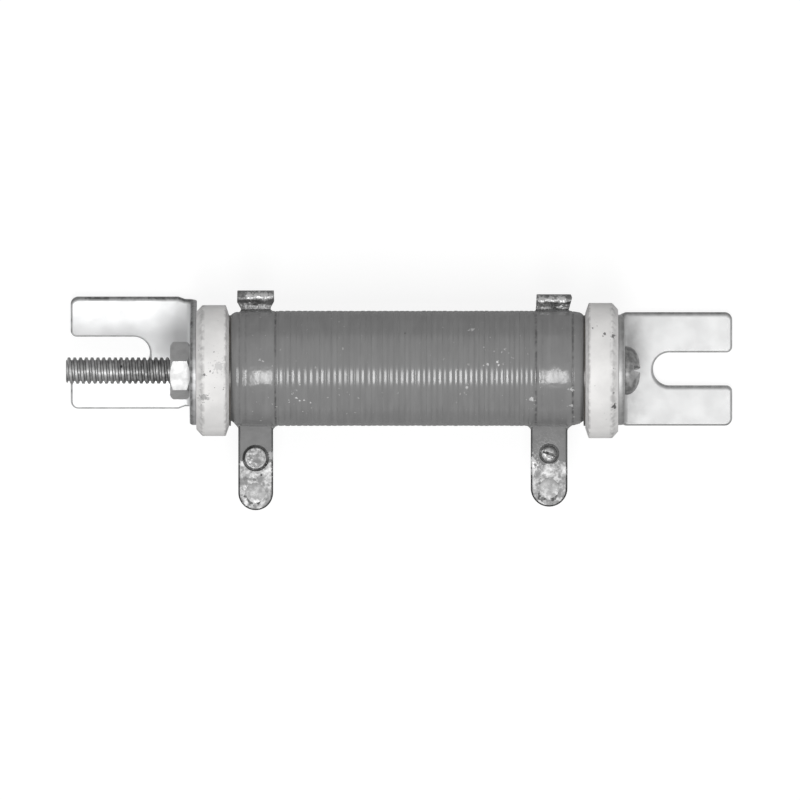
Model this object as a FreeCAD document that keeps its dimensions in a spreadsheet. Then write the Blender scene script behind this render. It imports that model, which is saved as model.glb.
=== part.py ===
"""Tubular wirewound braking resistor on a through-bolt with two slotted feet.

Millimetres. +X runs along the tube toward the bolt head, +Z points away from
the mounting surface and the terminal lugs point to -Y. The origin lies on the
mounting surface, under the bolt and half way along the tube.
"""

import FreeCAD, Part
import Sketcher
import os

LEFT = "left"
RIGHT = "right"
SIDES = {LEFT: -1, RIGHT: 1}

# Driving sizes, each under the alias that it has in the spreadsheet
SIZES = {
    # Ceramic tube, winding and coat
    "axis_height": 19.05,  # bolt axis above the mounting surface
    "core_length": 64.4,  # ceramic tube, end to end
    "core_diameter": 19.05,  # ceramic tube, outside
    "core_wall": 3.175,  # wall of the ceramic tube
    "wire_height": 0.6,  # wound wire above the ceramic tube
    "turn_count": 47,  # turns of wire between the two bands
    "enamel_thickness": 0.425,  # enamel over the wound wire
    "ridge_depth": 0.12,  # enamel ridge over each turn
    "coat_taper_length": 2.4,  # thinning enamel at each end
    "coat_taper_drop": 0.75,  # radius lost along that taper
    # Terminal bands, lugs and ears
    "ply": 0.45,  # thickness of the terminal strip
    "left_band_inset": 5.0,  # middle of the left band from the tube's end
    "right_band_inset": 5.3,  # middle of the right band from the tube's end
    "left_band_width": 5.45,  # left strip where it wraps the tube
    "right_band_width": 6.4,  # right strip where it wraps the tube
    "left_lug_shift": -0.47,  # left lug beside the middle of its band
    "right_lug_shift": -0.99,  # right lug beside the middle of its band
    "left_lug_width": 6.35,  # width of the left lug
    "right_lug_width": 6.7,  # width of the right lug
    "left_lug_length": 15.35,  # left lug beyond the coat
    "right_lug_length": 14.7,  # right lug beyond the coat
    "lug_hole_spacing": 6.35,  # between the two holes of a lug
    "solder_hole_diameter": 3.5,  # outer lug hole, filled with solder
    "left_ear_shift": -0.47,  # left ear beside the middle of its band
    "right_ear_shift": -0.04,  # right ear beside the middle of its band
    "left_ear_width": 6.8,  # left pinched ear along the tube
    "right_ear_width": 6.5,  # right pinched ear along the tube
    "left_ear_height": 3.7,  # left ear above the coat
    "right_ear_height": 3.0,  # right ear above the coat
    "left_ear_roll": 2.4,  # diameter of the left ear's rolled fold
    "right_ear_roll": 2.1,  # diameter of the right ear's rolled fold
    # Lug fasteners
    "rivet_shank_diameter": 2.4,  # rivet through the rear ply of the left lug
    "rivet_head_diameter": 3.9,  # rivet head
    "rivet_head_height": 0.85,  # rivet head above the rear ply
    "rivet_edge": 0.3,  # bevel round both ends of the rivet
    "rivet_tail_height": 0.6,  # clinched tail behind the left lug
    "left_window_gap": 0.525,  # open ring in the front ply round the rivet head
    "screw_shank_diameter": 1.8,  # screw through the rear ply of the right lug
    "screw_head_diameter": 2.8,  # slotted screw head
    "screw_head_height": 0.8,  # screw head above the rear ply
    "screw_edge": 0.2,  # bevel round the screw head
    "screw_slot_width": 0.45,  # slot across the screw head
    "screw_slot_depth": 0.4,  # depth of that slot
    "screw_turn": 72.0,  # turn of the slotted screw, in degrees
    "screw_end_length": 0.45,  # screw beyond its nut
    "right_window_gap": 0.5,  # open ring in the front ply round the screw head
    "lug_nut_flats": 3.6,  # small nut across its flats
    "lug_nut_thickness": 1.2,  # small nut
    "shank_clearance": 0.05,  # round a shank in the rear ply
    # End washers
    "mica_thickness": 0.3,  # mica washer between tube and ceramic washer
    "mica_rim": 0.575,  # mica washer beyond the tube's outside
    "left_washer_rim": 2.425,  # left ceramic washer beyond the tube's outside
    "right_washer_rim": 2.825,  # right ceramic washer beyond the tube's outside
    "washer_thickness": 6.0,  # ceramic washer between its faces
    "spigot_clearance": 0.45,  # round the boss that centres the tube, when centred
    "spigot_gap": 0.05,  # left of that clearance where the tube lies to one side
    "spigot_length": 3.0,  # length of that boss inside the tube
    "washer_clearance": 0.235,  # round the bolt in a ceramic washer
    "inner_chamfer_length": 0.64,  # chamfer toward the tube, along the axis
    "inner_chamfer_drop": 1.9,  # chamfer toward the tube, in radius
    "outer_chamfer_length": 1.1,  # chamfer toward the bracket, along the axis
    "outer_chamfer_drop": 1.2,  # chamfer toward the bracket, in radius
    # Brackets
    "sheet": 1.2,  # thickness of the bracket sheet
    "foot_width": 20.7,  # width of a foot
    "leg_recess": 0.4,  # each edge of a leg inside the foot's edge
    "left_foot_length": 21.95,  # left foot beyond its leg
    "right_foot_length": 19.85,  # right foot beyond its leg
    "shoulder_start": 1.0,  # narrow stretch of a foot next to the bend
    "shoulder_length": 1.2,  # widening of a foot beyond that stretch
    "slot_width": 6.0,  # open slot in a foot
    "slot_depth": 14.5,  # open slot from the tip of a foot
    "bend_radius": 0.8,  # inside of the bend
    "tip_radius": 1.4,  # outer corners of a foot
    "mouth_radius": 1.1,  # corners of the slot's mouth
    "leg_clearance": 0.185,  # round the bolt in a leg
    "left_bracket_turn": 9.2,  # left bracket turned on the bolt, in degrees
    # Through-bolt and nut
    "bolt_diameter": 4.83,  # bolt over its thread
    "stud_length": 22.6,  # bolt beyond the left leg
    "point_chamfer": 0.35,  # chamfer of the bolt's tip
    "head_diameter": 8.9,  # domed head
    "head_height": 2.85,  # domed head
    "head_round": 2.4,  # rounded rim of the domed head
    "head_slot_width": 1.2,  # slot across the head
    "head_slot_depth": 1.3,  # depth of that slot
    "bolt_turn": -7.6,  # turn of the head's slot from upright, in degrees
    "nut_flats": 9.3,  # hex nut across its flats
    "nut_thickness": 3.6,  # hex nut
    "nut_chamfer": 0.55,  # corner chamfer of the nut, along the axis
    "nut_turn": 10.6,  # turn of a nut corner from the +Y side, in degrees
    "thread_clearance": 0.02,  # round a thread in its nut
}

doc = FreeCAD.newDocument("BrakingResistor")
sheet = doc.addObject("Spreadsheet::Sheet", "Sizes")


def fill_sheet():
    """Write each driving size to a row of its own."""
    for row, (alias, number) in enumerate(SIZES.items(), 1):
        sheet.set(f"A{row}", alias)
        sheet.set(f"B{row}", str(number))
        sheet.setAlias(f"B{row}", alias)
    doc.recompute()


fill_sheet()


def size(expression):
    """Value of an expression in the sheet's aliases."""
    return float(sheet.evalExpression(named(expression)))


def named(expression):
    """Expression with each alias written as Sizes.alias."""
    words = []
    word = ""
    for letter in expression + " ":
        if letter.isalnum() or letter in "_.":
            word += letter
            continue
        words.append(f"Sizes.{word}" if word in SIZES else word)
        words.append(letter)
        word = ""
    return "".join(words).strip()


# Places and radii that several pieces share

CORE_RADIUS = "core_diameter / 2"
BORE_RADIUS = "(core_diameter / 2 - core_wall)"
CORE_END = "core_length / 2"
COAT_RADIUS = "(core_diameter / 2 + wire_height + enamel_thickness)"
BAND_MIDDLE = {
    LEFT: "(left_band_inset - core_length / 2)",
    RIGHT: "(core_length / 2 - right_band_inset)",
}
WINDING_START = f"({BAND_MIDDLE[LEFT]} + left_band_width / 2)"
WINDING_END = f"({BAND_MIDDLE[RIGHT]} - right_band_width / 2)"
WASHER_FACE = "(core_length / 2 + mica_thickness)"
STACK_FACE = f"({WASHER_FACE} + washer_thickness)"
LEG_FACE = f"({STACK_FACE} + sheet)"
TUBE_OFFSET = "(spigot_clearance - spigot_gap)"


def lug_middle(side):
    return f"({BAND_MIDDLE[side]} + {side}_lug_shift)"


def outer_hole_reach(side):
    """Outer lug hole, on the centre of the lug's round end, from the tube axis."""
    return f"({COAT_RADIUS} + {side}_lug_length - {side}_lug_width / 2)"


def inner_hole_reach(side):
    return f"({outer_hole_reach(side)} - lug_hole_spacing)"


# Bodies, sketches and features


def new_body(label):
    body = doc.addObject("PartDesign::Body", label)
    body.Label = label
    return body


def place(part, x="0", y="0", z="0", turn=None):
    """Bind a placement: a shift, and a turn about the X axis in degrees."""
    part.Placement = FreeCAD.Placement(FreeCAD.Vector(), FreeCAD.Rotation(FreeCAD.Vector(1, 0, 0), 0))
    part.setExpression("Placement.Base.x", named(x))
    part.setExpression("Placement.Base.y", named(y))
    part.setExpression("Placement.Base.z", named(z))
    if turn:
        part.setExpression("Placement.Rotation.Angle", named(turn))


def new_sketch(body, role, offset=None):
    """Sketch on one of the body's own planes, shifted along its normal."""
    sketch = body.newObject("Sketcher::SketchObject", f"{body.Name}_outline")
    origin_plane = next(f for f in body.Origin.OriginFeatures if f.Role == role)
    sketch.AttachmentSupport = (origin_plane, [""])
    sketch.MapMode = "FlatFace"
    if offset:
        sketch.setExpression("AttachmentOffset.Base.z", named(offset))
    return sketch


def pin_point(sketch, geometry, end, x, y):
    """Tie one point of the sketch to two expressions."""
    for kind, expression in (("DistanceX", x), ("DistanceY", y)):
        index = sketch.addConstraint(Sketcher.Constraint(kind, geometry, end, size(expression)))
        sketch.setExpression(f"Constraints[{index}]", named(expression))


def polygon_sketch(body, role, corners, offset=None):
    """Closed outline through corners given as pairs of expressions."""
    sketch = new_sketch(body, role, offset)
    points = [FreeCAD.Vector(size(x), size(y), 0) for x, y in corners]
    count = len(points)
    for index in range(count):
        sketch.addGeometry(Part.LineSegment(points[index], points[(index + 1) % count]), False)
    for index in range(count):
        sketch.addConstraint(Sketcher.Constraint("Coincident", index, 2, (index + 1) % count, 1))
    for index, (x, y) in enumerate(corners):
        pin_point(sketch, index, 1, x, y)
    return sketch


def circle_sketch(body, role, x, y, diameter, offset=None):
    sketch = new_sketch(body, role, offset)
    centre = FreeCAD.Vector(size(x), size(y), 0)
    radius = size(diameter) / 2
    sketch.addGeometry(Part.Circle(centre, FreeCAD.Vector(0, 0, 1), radius), False)
    pin_point(sketch, 0, 3, x, y)
    index = sketch.addConstraint(Sketcher.Constraint("Diameter", 0, 2 * radius))
    sketch.setExpression(f"Constraints[{index}]", named(diameter))
    return sketch


def revolve(body, sketch, axis="H_Axis"):
    feature = body.newObject("PartDesign::Revolution", f"{body.Name}_turned")
    feature.Profile = (sketch, [""])
    feature.ReferenceAxis = (sketch, [axis])
    feature.Angle = 360
    return feature


def pad(body, sketch, length, centred=False, backward=False):
    feature = body.newObject("PartDesign::Pad", f"{body.Name}_pad")
    feature.Profile = (sketch, [""])
    feature.setExpression("Length", named(length))
    feature.Midplane = centred
    feature.Reversed = backward
    return feature


def pocket(body, sketch, length, centred=False, backward=False):
    """Pocket against the sketch's normal, or along it where backward."""
    feature = body.newObject("PartDesign::Pocket", f"{body.Name}_pocket")
    feature.Profile = (sketch, [""])
    feature.setExpression("Length", named(length))
    feature.Midplane = centred
    feature.Reversed = backward
    return feature


def same(value, target):
    """Whether two values agree, to the modelling kernel's own tolerance."""
    return abs(value - target) < Part.Precision.approximation()


def edges_where(shape, test):
    """Names of the edges that pass a test of their middle point and shape."""
    names = []
    for index, edge in enumerate(shape.Edges, 1):
        middle = edge.valueAt((edge.FirstParameter + edge.LastParameter) / 2)
        if test(middle, edge):
            names.append(f"Edge{index}")
    return names


def fillet(body, base, radius, test):
    doc.recompute()
    feature = body.newObject("PartDesign::Fillet", f"{body.Name}_fillet")
    feature.Base = (base, edges_where(base.Shape, test))
    feature.setExpression("Radius", named(radius))
    return feature


def turned_body(label, corners, role="XZ_Plane", axis="H_Axis"):
    """Body of revolution from pairs of place along the axis and radius."""
    body = new_body(label)
    revolve(body, polygon_sketch(body, role, corners), axis)
    return body


def slab(left, right, near, far):
    """Corners of a rectangle in a sketch's own X and Y."""
    return [(left, near), (right, near), (right, far), (left, far)]


def place_on_tube(part):
    place(part, y=TUBE_OFFSET, z="axis_height")


def place_on_bolt(part, turn=None):
    place(part, z="axis_height", turn=turn)


# Tube and winding


def make_ceramic_core():
    corners = slab(f"-{CORE_END}", CORE_END, BORE_RADIUS, CORE_RADIUS)
    body = turned_body("ceramic_core", corners)
    place_on_tube(body)
    return body


def make_resistance_winding():
    """Wound wire, as the sleeve that its turns fill between the bands."""
    outside = f"{CORE_RADIUS} + wire_height"
    corners = slab(WINDING_START, WINDING_END, CORE_RADIUS, outside)
    body = turned_body("resistance_winding", corners)
    place_on_tube(body)
    return body


# Terminals

FASTENERS = {LEFT: "rivet", RIGHT: "screw"}


def make_terminal(side):
    """One strip: a band round the tube, a two-ply lug and a pinched ear."""
    body = new_body(f"terminal_{side}")
    band_start = f"{BAND_MIDDLE[side]} - {side}_band_width / 2"
    band_end = f"{BAND_MIDDLE[side]} + {side}_band_width / 2"
    two_plies = "2 * ply"
    root = f"({CORE_RADIUS} + ply / 2)"

    ring = slab(band_start, band_end, CORE_RADIUS, f"{CORE_RADIUS} + ply")
    revolve(body, polygon_sketch(body, "XZ_Plane", ring))

    stem = slab(band_start, band_end, f"-{COAT_RADIUS} - ply", f"-{root}")
    pad(body, polygon_sketch(body, "XY_Plane", stem), two_plies, centred=True)
    lug_start = f"{lug_middle(side)} - {side}_lug_width / 2"
    lug_end = f"{lug_middle(side)} + {side}_lug_width / 2"
    outer_hole_y = f"-{outer_hole_reach(side)}"
    inner_hole_y = f"-{inner_hole_reach(side)}"
    tab = slab(lug_start, lug_end, outer_hole_y, f"-{COAT_RADIUS}")
    pad(body, polygon_sketch(body, "XY_Plane", tab), two_plies, centred=True)
    tip = circle_sketch(body, "XY_Plane", lug_middle(side), outer_hole_y, f"{side}_lug_width")
    pad(body, tip, two_plies, centred=True)

    ear_middle = f"{BAND_MIDDLE[side]} + {side}_ear_shift"
    roll = f"{side}_ear_roll"
    roll_reach = f"{COAT_RADIUS} + {side}_ear_height - {roll} / 2"
    neck = slab(band_start, band_end, root, roll_reach)
    pad(body, polygon_sketch(body, "XY_Plane", neck), two_plies, centred=True)
    rolled = circle_sketch(body, "YZ_Plane", roll_reach, "0", roll, offset=ear_middle)
    pad(body, rolled, f"{side}_ear_width", centred=True)
    hollow = circle_sketch(
        body, "YZ_Plane", roll_reach, "0", f"{roll} - {two_plies}", offset=ear_middle
    )
    pocket(body, hollow, f"{side}_ear_width + {side}_band_width", centred=True)

    lug_x = lug_middle(side)
    solder_hole = circle_sketch(body, "XY_Plane", lug_x, outer_hole_y, "solder_hole_diameter")
    pocket(body, solder_hole, "4 * ply", centred=True)
    fastener = FASTENERS[side]
    shank_hole = f"{fastener}_shank_diameter + 2 * shank_clearance"
    rear_hole = circle_sketch(body, "XY_Plane", lug_x, inner_hole_y, shank_hole)
    pocket(body, rear_hole, "4 * ply", centred=True)
    window = f"{fastener}_head_diameter + 2 * {side}_window_gap"
    front_hole = circle_sketch(body, "XY_Plane", lug_x, inner_hole_y, window)
    pocket(body, front_hole, two_plies, backward=True)
    place_on_tube(body)
    return body


def place_on_lug(part, side, reach, turn=None):
    """Place a piece on the lug's mid-plane, its own axis along Z."""
    upright = FreeCAD.Rotation(FreeCAD.Vector(0, 0, 1), 0)
    part.Placement = FreeCAD.Placement(FreeCAD.Vector(), upright)
    part.setExpression("Placement.Base.x", named(lug_middle(side)))
    part.setExpression("Placement.Base.y", named(f"{TUBE_OFFSET} - {reach}"))
    part.setExpression("Placement.Base.z", named("axis_height"))
    if turn:
        part.setExpression("Placement.Rotation.Angle", named(turn))


def make_lug_rivet():
    """Rivet whose head sits in the front ply's opening, on the rear ply."""
    head = "rivet_head_diameter / 2"
    shank = "rivet_shank_diameter / 2"
    tail = "-ply - rivet_tail_height"
    corners = [
        ("0", tail),
        (f"{head} - rivet_edge", tail),
        (head, f"{tail} + rivet_edge"),
        (head, "-ply"),
        (shank, "-ply"),
        (shank, "0"),
        (head, "0"),
        (head, "rivet_head_height - rivet_edge"),
        (f"{head} - rivet_edge", "rivet_head_height"),
        ("0", "rivet_head_height"),
    ]
    body = turned_body("lug_rivet_left", corners, axis="V_Axis")
    place_on_lug(body, LEFT, inner_hole_reach(LEFT))
    return body


def make_lug_screw():
    """Slotted screw whose head sits in the front ply's opening."""
    head = "screw_head_diameter / 2"
    shank = "screw_shank_diameter / 2"
    end = "-ply - lug_nut_thickness - screw_end_length"
    corners = [
        ("0", end),
        (shank, end),
        (shank, "0"),
        (head, "0"),
        (head, "screw_head_height - screw_edge"),
        (f"{head} - screw_edge", "screw_head_height"),
        ("0", "screw_head_height"),
    ]
    body = turned_body("lug_screw_right", corners, axis="V_Axis")
    slot = slab(
        "-screw_slot_width / 2",
        "screw_slot_width / 2",
        "-screw_head_diameter",
        "screw_head_diameter",
    )
    sketch = polygon_sketch(body, "XY_Plane", slot, offset="screw_head_height")
    pocket(body, sketch, "screw_slot_depth")
    place_on_lug(body, RIGHT, inner_hole_reach(RIGHT), turn="screw_turn")
    return body


def make_lug_nut():
    """Small hexagon nut on the screw, behind the right lug."""
    body = new_body("lug_nut_right")
    rear_face = "-ply - lug_nut_thickness"
    blank = polygon_sketch(body, "XY_Plane", hexagon("lug_nut_flats"), offset=rear_face)
    pad(body, blank, "lug_nut_thickness")
    bore_diameter = "screw_shank_diameter + 2 * thread_clearance"
    bore = circle_sketch(body, "XY_Plane", "0", "0", bore_diameter)
    pocket(body, bore, "4 * lug_nut_thickness", centred=True)
    place_on_lug(body, RIGHT, inner_hole_reach(RIGHT))
    return body


def make_solder_fill(side):
    """Solder that fills the outer hole of a lug, flush with both plies."""
    corners = slab("0", "solder_hole_diameter / 2", "-ply", "ply")
    body = turned_body(f"solder_fill_{side}", corners, axis="V_Axis")
    place_on_lug(body, side, outer_hole_reach(side))
    return body


# Enamel


def make_enamel_coat(inside):
    """Enamel over the tube, ridged by the turns and cut by what it covers."""
    body = new_body("enamel_blank")
    crest = COAT_RADIUS
    valley = f"{crest} - ridge_depth"
    taper = f"{CORE_END} - coat_taper_length"
    edge = f"{crest} - coat_taper_drop"
    corners = [
        (f"-{CORE_END}", CORE_RADIUS),
        (CORE_END, CORE_RADIUS),
        (CORE_END, edge),
        (taper, crest),
        (WINDING_END, crest),
        (WINDING_END, valley),
        (WINDING_START, valley),
        (WINDING_START, crest),
        (f"-({taper})", crest),
        (f"-{CORE_END}", edge),
    ]
    revolve(body, polygon_sketch(body, "XZ_Plane", corners))
    pitch = f"({WINDING_END} - {WINDING_START}) / turn_count"
    ridge = [
        (WINDING_START, f"{valley} - ridge_depth"),
        (f"{WINDING_START} + {pitch}", f"{valley} - ridge_depth"),
        (f"{WINDING_START} + {pitch}", valley),
        (f"{WINDING_START} + {pitch} / 2", crest),
        (WINDING_START, valley),
    ]
    sketch = polygon_sketch(body, "XZ_Plane", ridge)
    first_ridge = revolve(body, sketch)
    pattern = body.newObject("PartDesign::LinearPattern", "ridges")
    pattern.Originals = [first_ridge]
    pattern.Direction = (sketch, ["H_Axis"])
    pattern.setExpression("Occurrences", named("turn_count"))
    pattern.setExpression("Length", named(f"{pitch} * (turn_count - 1)"))
    body.Tip = pattern
    place_on_tube(body)

    blank = body
    for index, tool in enumerate(inside, 1):
        cut = doc.addObject("Part::Cut", f"enamel_cut_{index}")
        cut.Base = blank
        cut.Tool = tool
        blank = cut
    blank.Label = "enamel_coat"
    return blank


# End washers


def make_mica_washer(side):
    sign = SIDES[side]
    outside = f"{CORE_RADIUS} + mica_rim"
    corners = slab(f"{sign} * {CORE_END}", f"{sign} * {WASHER_FACE}", BORE_RADIUS, outside)
    body = turned_body(f"mica_washer_{side}", corners)
    place_on_bolt(body)
    return body


def make_end_washer(side):
    """Ceramic washer with a boss that enters the tube."""
    sign = SIDES[side]
    rim = f"({CORE_RADIUS} + {side}_washer_rim)"
    bore = "bolt_diameter / 2 + washer_clearance"
    boss = f"{BORE_RADIUS} - spigot_clearance"
    corners = [
        (f"{sign} * ({WASHER_FACE} - spigot_length)", bore),
        (f"{sign} * ({WASHER_FACE} - spigot_length)", boss),
        (f"{sign} * {WASHER_FACE}", boss),
        (f"{sign} * {WASHER_FACE}", f"{rim} - inner_chamfer_drop"),
        (f"{sign} * ({WASHER_FACE} + inner_chamfer_length)", rim),
        (f"{sign} * ({STACK_FACE} - outer_chamfer_length)", rim),
        (f"{sign} * {STACK_FACE}", f"{rim} - outer_chamfer_drop"),
        (f"{sign} * {STACK_FACE}", bore),
    ]
    body = turned_body(f"end_washer_{side}", corners)
    place_on_bolt(body)
    return body


# Brackets


def make_bracket(side):
    """Upright leg on the bolt and a slotted foot, bent from one sheet.

    The body's own origin is on the bolt axis, at the leg's inner face.
    """
    sign = SIDES[side]
    body = new_body(f"bracket_{side}")
    foot_tip = f"{sign} * (sheet + {side}_foot_length)"
    beyond_tip = f"{foot_tip} + {sign} * sheet"
    underside = "-axis_height"
    topside = "-axis_height + sheet"
    half_foot = "foot_width / 2"
    half_leg = "(foot_width / 2 - leg_recess)"
    through_foot = "axis_height + sheet"

    angle = [
        ("0", underside),
        (foot_tip, underside),
        (foot_tip, topside),
        (f"{sign} * sheet", topside),
        (f"{sign} * sheet", "0"),
        ("0", "0"),
    ]
    bent = pad(body, polygon_sketch(body, "XZ_Plane", angle), "foot_width", centred=True)

    def bend_edge(x, z):
        return lambda p, e: same(p.x, size(x)) and same(p.z, size(z))

    inside = fillet(body, bent, "bend_radius", bend_edge(f"{sign} * sheet", topside))
    fillet(body, inside, "bend_radius + sheet", bend_edge("0", underside))

    for flank in (-1, 1):
        shoulder = [
            (f"-{sign} * sheet", f"{flank} * foot_width"),
            (f"-{sign} * sheet", f"{flank} * {half_leg}"),
            (f"{sign} * (sheet + shoulder_start)", f"{flank} * {half_leg}"),
            (f"{sign} * (sheet + shoulder_start + shoulder_length)", f"{flank} * {half_foot}"),
            (f"{sign} * (sheet + shoulder_start + shoulder_length)", f"{flank} * foot_width"),
        ]
        pocket(body, polygon_sketch(body, "XY_Plane", shoulder), through_foot)

    round_end = circle_sketch(body, "YZ_Plane", "0", "0", f"2 * {half_leg}")
    pad(body, round_end, "sheet", backward=sign < 0)
    hole_diameter = "bolt_diameter + 2 * leg_clearance"
    hole = circle_sketch(body, "YZ_Plane", "0", "0", hole_diameter)
    pocket(body, hole, "4 * sheet", centred=True)

    slot_centre = f"{sign} * (sheet + {side}_foot_length - slot_depth + slot_width / 2)"
    slot_end = circle_sketch(body, "XY_Plane", slot_centre, "0", "slot_width")
    pocket(body, slot_end, through_foot)
    slot = slab(slot_centre, beyond_tip, "-slot_width / 2", "slot_width / 2")
    slotted = pocket(body, polygon_sketch(body, "XY_Plane", slot), through_foot)

    def upright_edge(half_width):
        return lambda p, e: (
            same(abs(e.tangentAt(e.FirstParameter).z), 1)
            and same(p.x, size(foot_tip))
            and same(abs(p.y), size(half_width))
        )

    tips = fillet(body, slotted, "tip_radius", upright_edge(half_foot))
    fillet(body, tips, "mouth_radius", upright_edge("slot_width / 2"))
    turn = "left_bracket_turn" if side == LEFT else None
    place(body, x=f"{sign} * {STACK_FACE}", z="axis_height", turn=turn)
    return body


# Bolt and nut


def make_through_bolt():
    """Slotted, domed machine screw through the whole stack."""
    radius = "bolt_diameter / 2"
    tip = f"-({LEG_FACE} + stud_length)"
    top = f"{LEG_FACE} + head_height"
    corners = [
        (tip, "0"),
        (tip, f"{radius} - point_chamfer"),
        (f"{tip} + point_chamfer", radius),
        (LEG_FACE, radius),
        (LEG_FACE, "head_diameter / 2"),
        (top, "head_diameter / 2"),
        (top, "0"),
    ]
    body = turned_body("through_bolt", corners)

    def head_rim(point, edge):
        return same(point.x, size(top)) and edge.Length > size("head_diameter")

    fillet(body, body.Tip, "head_round", head_rim)
    slot = slab("-head_slot_width / 2", "head_slot_width / 2", "-head_diameter", "head_diameter")
    pocket(body, polygon_sketch(body, "YZ_Plane", slot, offset=top), "head_slot_depth")
    place_on_bolt(body, turn="bolt_turn")
    return body


def hexagon(flats):
    """Corners of a hexagon, the first on the sketch's +X side."""
    corner = f"{flats} / 2 / cos(30 deg)"
    return [
        (f"{corner} * cos({60 * index} deg)", f"{corner} * sin({60 * index} deg)")
        for index in range(6)
    ]


def make_hex_nut():
    """Hexagon nut against the left leg, its corners chamfered at both faces."""
    body = new_body("nut_blank")
    face = f"-{LEG_FACE}"
    far = f"-({LEG_FACE} + nut_thickness)"
    pad(body, polygon_sketch(body, "YZ_Plane", hexagon("nut_flats"), offset=far), "nut_thickness")
    bore_diameter = "bolt_diameter + 2 * thread_clearance"
    bore = circle_sketch(body, "YZ_Plane", "0", "0", bore_diameter, offset=far)
    pocket(body, bore, "4 * nut_thickness", centred=True)
    place_on_bolt(body, turn="nut_turn")

    corner = "nut_flats / 2 / cos(30 deg)"
    flat = "nut_flats / 2"
    barrel = turned_body(
        "nut_barrel",
        [
            (far, "0"),
            (far, flat),
            (f"{far} + nut_chamfer", corner),
            (f"{face} - nut_chamfer", corner),
            (face, flat),
            (face, "0"),
        ],
    )
    place_on_bolt(barrel)
    nut = doc.addObject("Part::Common", "hex_nut")
    nut.Base = body
    nut.Tool = barrel
    nut.Label = "hex_nut"
    return nut


def make_parts():
    core = make_ceramic_core()
    winding = make_resistance_winding()
    terminals = [make_terminal(side) for side in SIDES]
    parts = [core, winding, *terminals]
    parts.append(make_enamel_coat([winding, *terminals]))
    parts.append(make_lug_rivet())
    parts.append(make_lug_screw())
    parts.append(make_lug_nut())
    for side in SIDES:
        parts.append(make_solder_fill(side))
        parts.append(make_mica_washer(side))
        parts.append(make_end_washer(side))
        parts.append(make_bracket(side))
    parts.append(make_through_bolt())
    parts.append(make_hex_nut())
    return parts


def check_document(parts):
    """Stop on any failed object or empty or invalid sub-part."""
    for item in doc.Objects:
        if "Invalid" in item.State or "Error" in item.State:
            raise RuntimeError(f"{item.Label} failed: {item.State}")
    for part in parts:
        if part.Shape.isNull() or not part.Shape.isValid():
            raise RuntimeError(f"{part.Label} has no valid shape")
        if len(part.Shape.Solids) != 1:
            raise RuntimeError(f"{part.Label} has {len(part.Shape.Solids)} solids")


parts = make_parts()
doc.recompute()
check_document(parts)
os.makedirs("parts", exist_ok=True)
for part in parts:
    part.Shape.exportStep(f"parts/{part.Label}.step")
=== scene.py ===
"""Tubular braking resistor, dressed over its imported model.

A ribbed enamel tube hangs on a through-bolt between two slotted feet. +X runs
toward the bolt head, +Z away from the mounting surface, and the lugs point
to -Y. Sizes are in millimetres until a point is made, then in metres.
"""

import logging
import math
from dataclasses import dataclass, replace
from enum import Enum
from functools import cache
from typing import Callable, Iterable, Sequence

import bmesh
import bpy
from bpy.types import Material, Mesh, MeshVertex, Node, NodeSocket, NodeTree, Object
from mathutils import Matrix, Vector, geometry, noise


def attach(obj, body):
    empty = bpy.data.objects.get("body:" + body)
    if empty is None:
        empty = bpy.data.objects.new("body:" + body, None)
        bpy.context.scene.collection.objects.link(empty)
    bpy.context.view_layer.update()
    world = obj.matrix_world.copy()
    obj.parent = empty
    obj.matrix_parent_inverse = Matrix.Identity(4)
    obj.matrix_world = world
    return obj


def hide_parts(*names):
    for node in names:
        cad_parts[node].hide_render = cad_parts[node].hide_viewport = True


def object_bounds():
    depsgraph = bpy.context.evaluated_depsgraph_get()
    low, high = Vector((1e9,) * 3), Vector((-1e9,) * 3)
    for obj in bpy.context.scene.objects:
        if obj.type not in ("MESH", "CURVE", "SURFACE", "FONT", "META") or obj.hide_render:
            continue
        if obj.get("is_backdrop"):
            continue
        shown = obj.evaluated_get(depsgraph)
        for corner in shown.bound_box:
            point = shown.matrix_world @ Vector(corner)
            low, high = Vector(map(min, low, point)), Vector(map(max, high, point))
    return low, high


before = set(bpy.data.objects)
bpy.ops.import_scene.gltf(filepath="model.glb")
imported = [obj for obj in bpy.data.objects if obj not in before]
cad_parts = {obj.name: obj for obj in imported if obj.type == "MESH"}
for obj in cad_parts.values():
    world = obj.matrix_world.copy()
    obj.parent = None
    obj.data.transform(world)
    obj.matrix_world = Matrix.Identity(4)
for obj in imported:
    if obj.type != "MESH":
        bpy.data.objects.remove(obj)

MM = 0.001
AXIS_HEIGHT = 19.05
TUBE_SHIFT = 0.4
CORE_RADIUS = 9.525
CORE_END = 32.2
WASHER_FACE = 32.5
STACK_FACE = 38.5
LEG_FACE = 39.7
BODY = "root"
MARK = "mark"

# Grown points nearer than this are merged
WELD = 0.003
# Points of a rounded line nearer than this are one
CLOSE = 1e-4
# Share of a turn that keeps a row on a turn's start in that turn
NUDGE = 1e-4
# Points of a carved piece nearer than this are merged
CUT_WELD = 0.004
# Angle in degrees past which a carved edge is eased
EASED_ANGLE = 34.0
# By how much a corner's radius stays under half a width
SLACK = 0.001

log = logging.getLogger("resistor")

Pair = tuple[float, float]
Triple = tuple[float, float, float]
Feed = object


class Side(Enum):
    """Which end of the tube a piece belongs to, as the sign of its X."""

    LEFT = -1
    RIGHT = 1

    @property
    def word(self) -> str:
        """The side as the node names spell it."""
        return self.name.lower()


class Axis(Enum):
    """Direction that a turned piece runs along."""

    X = "x"
    Z = "z"


class Fastener(Enum):
    """What holds the two plies of a lug together."""

    RIVET = "rivet"
    SCREW = "screw"


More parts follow.
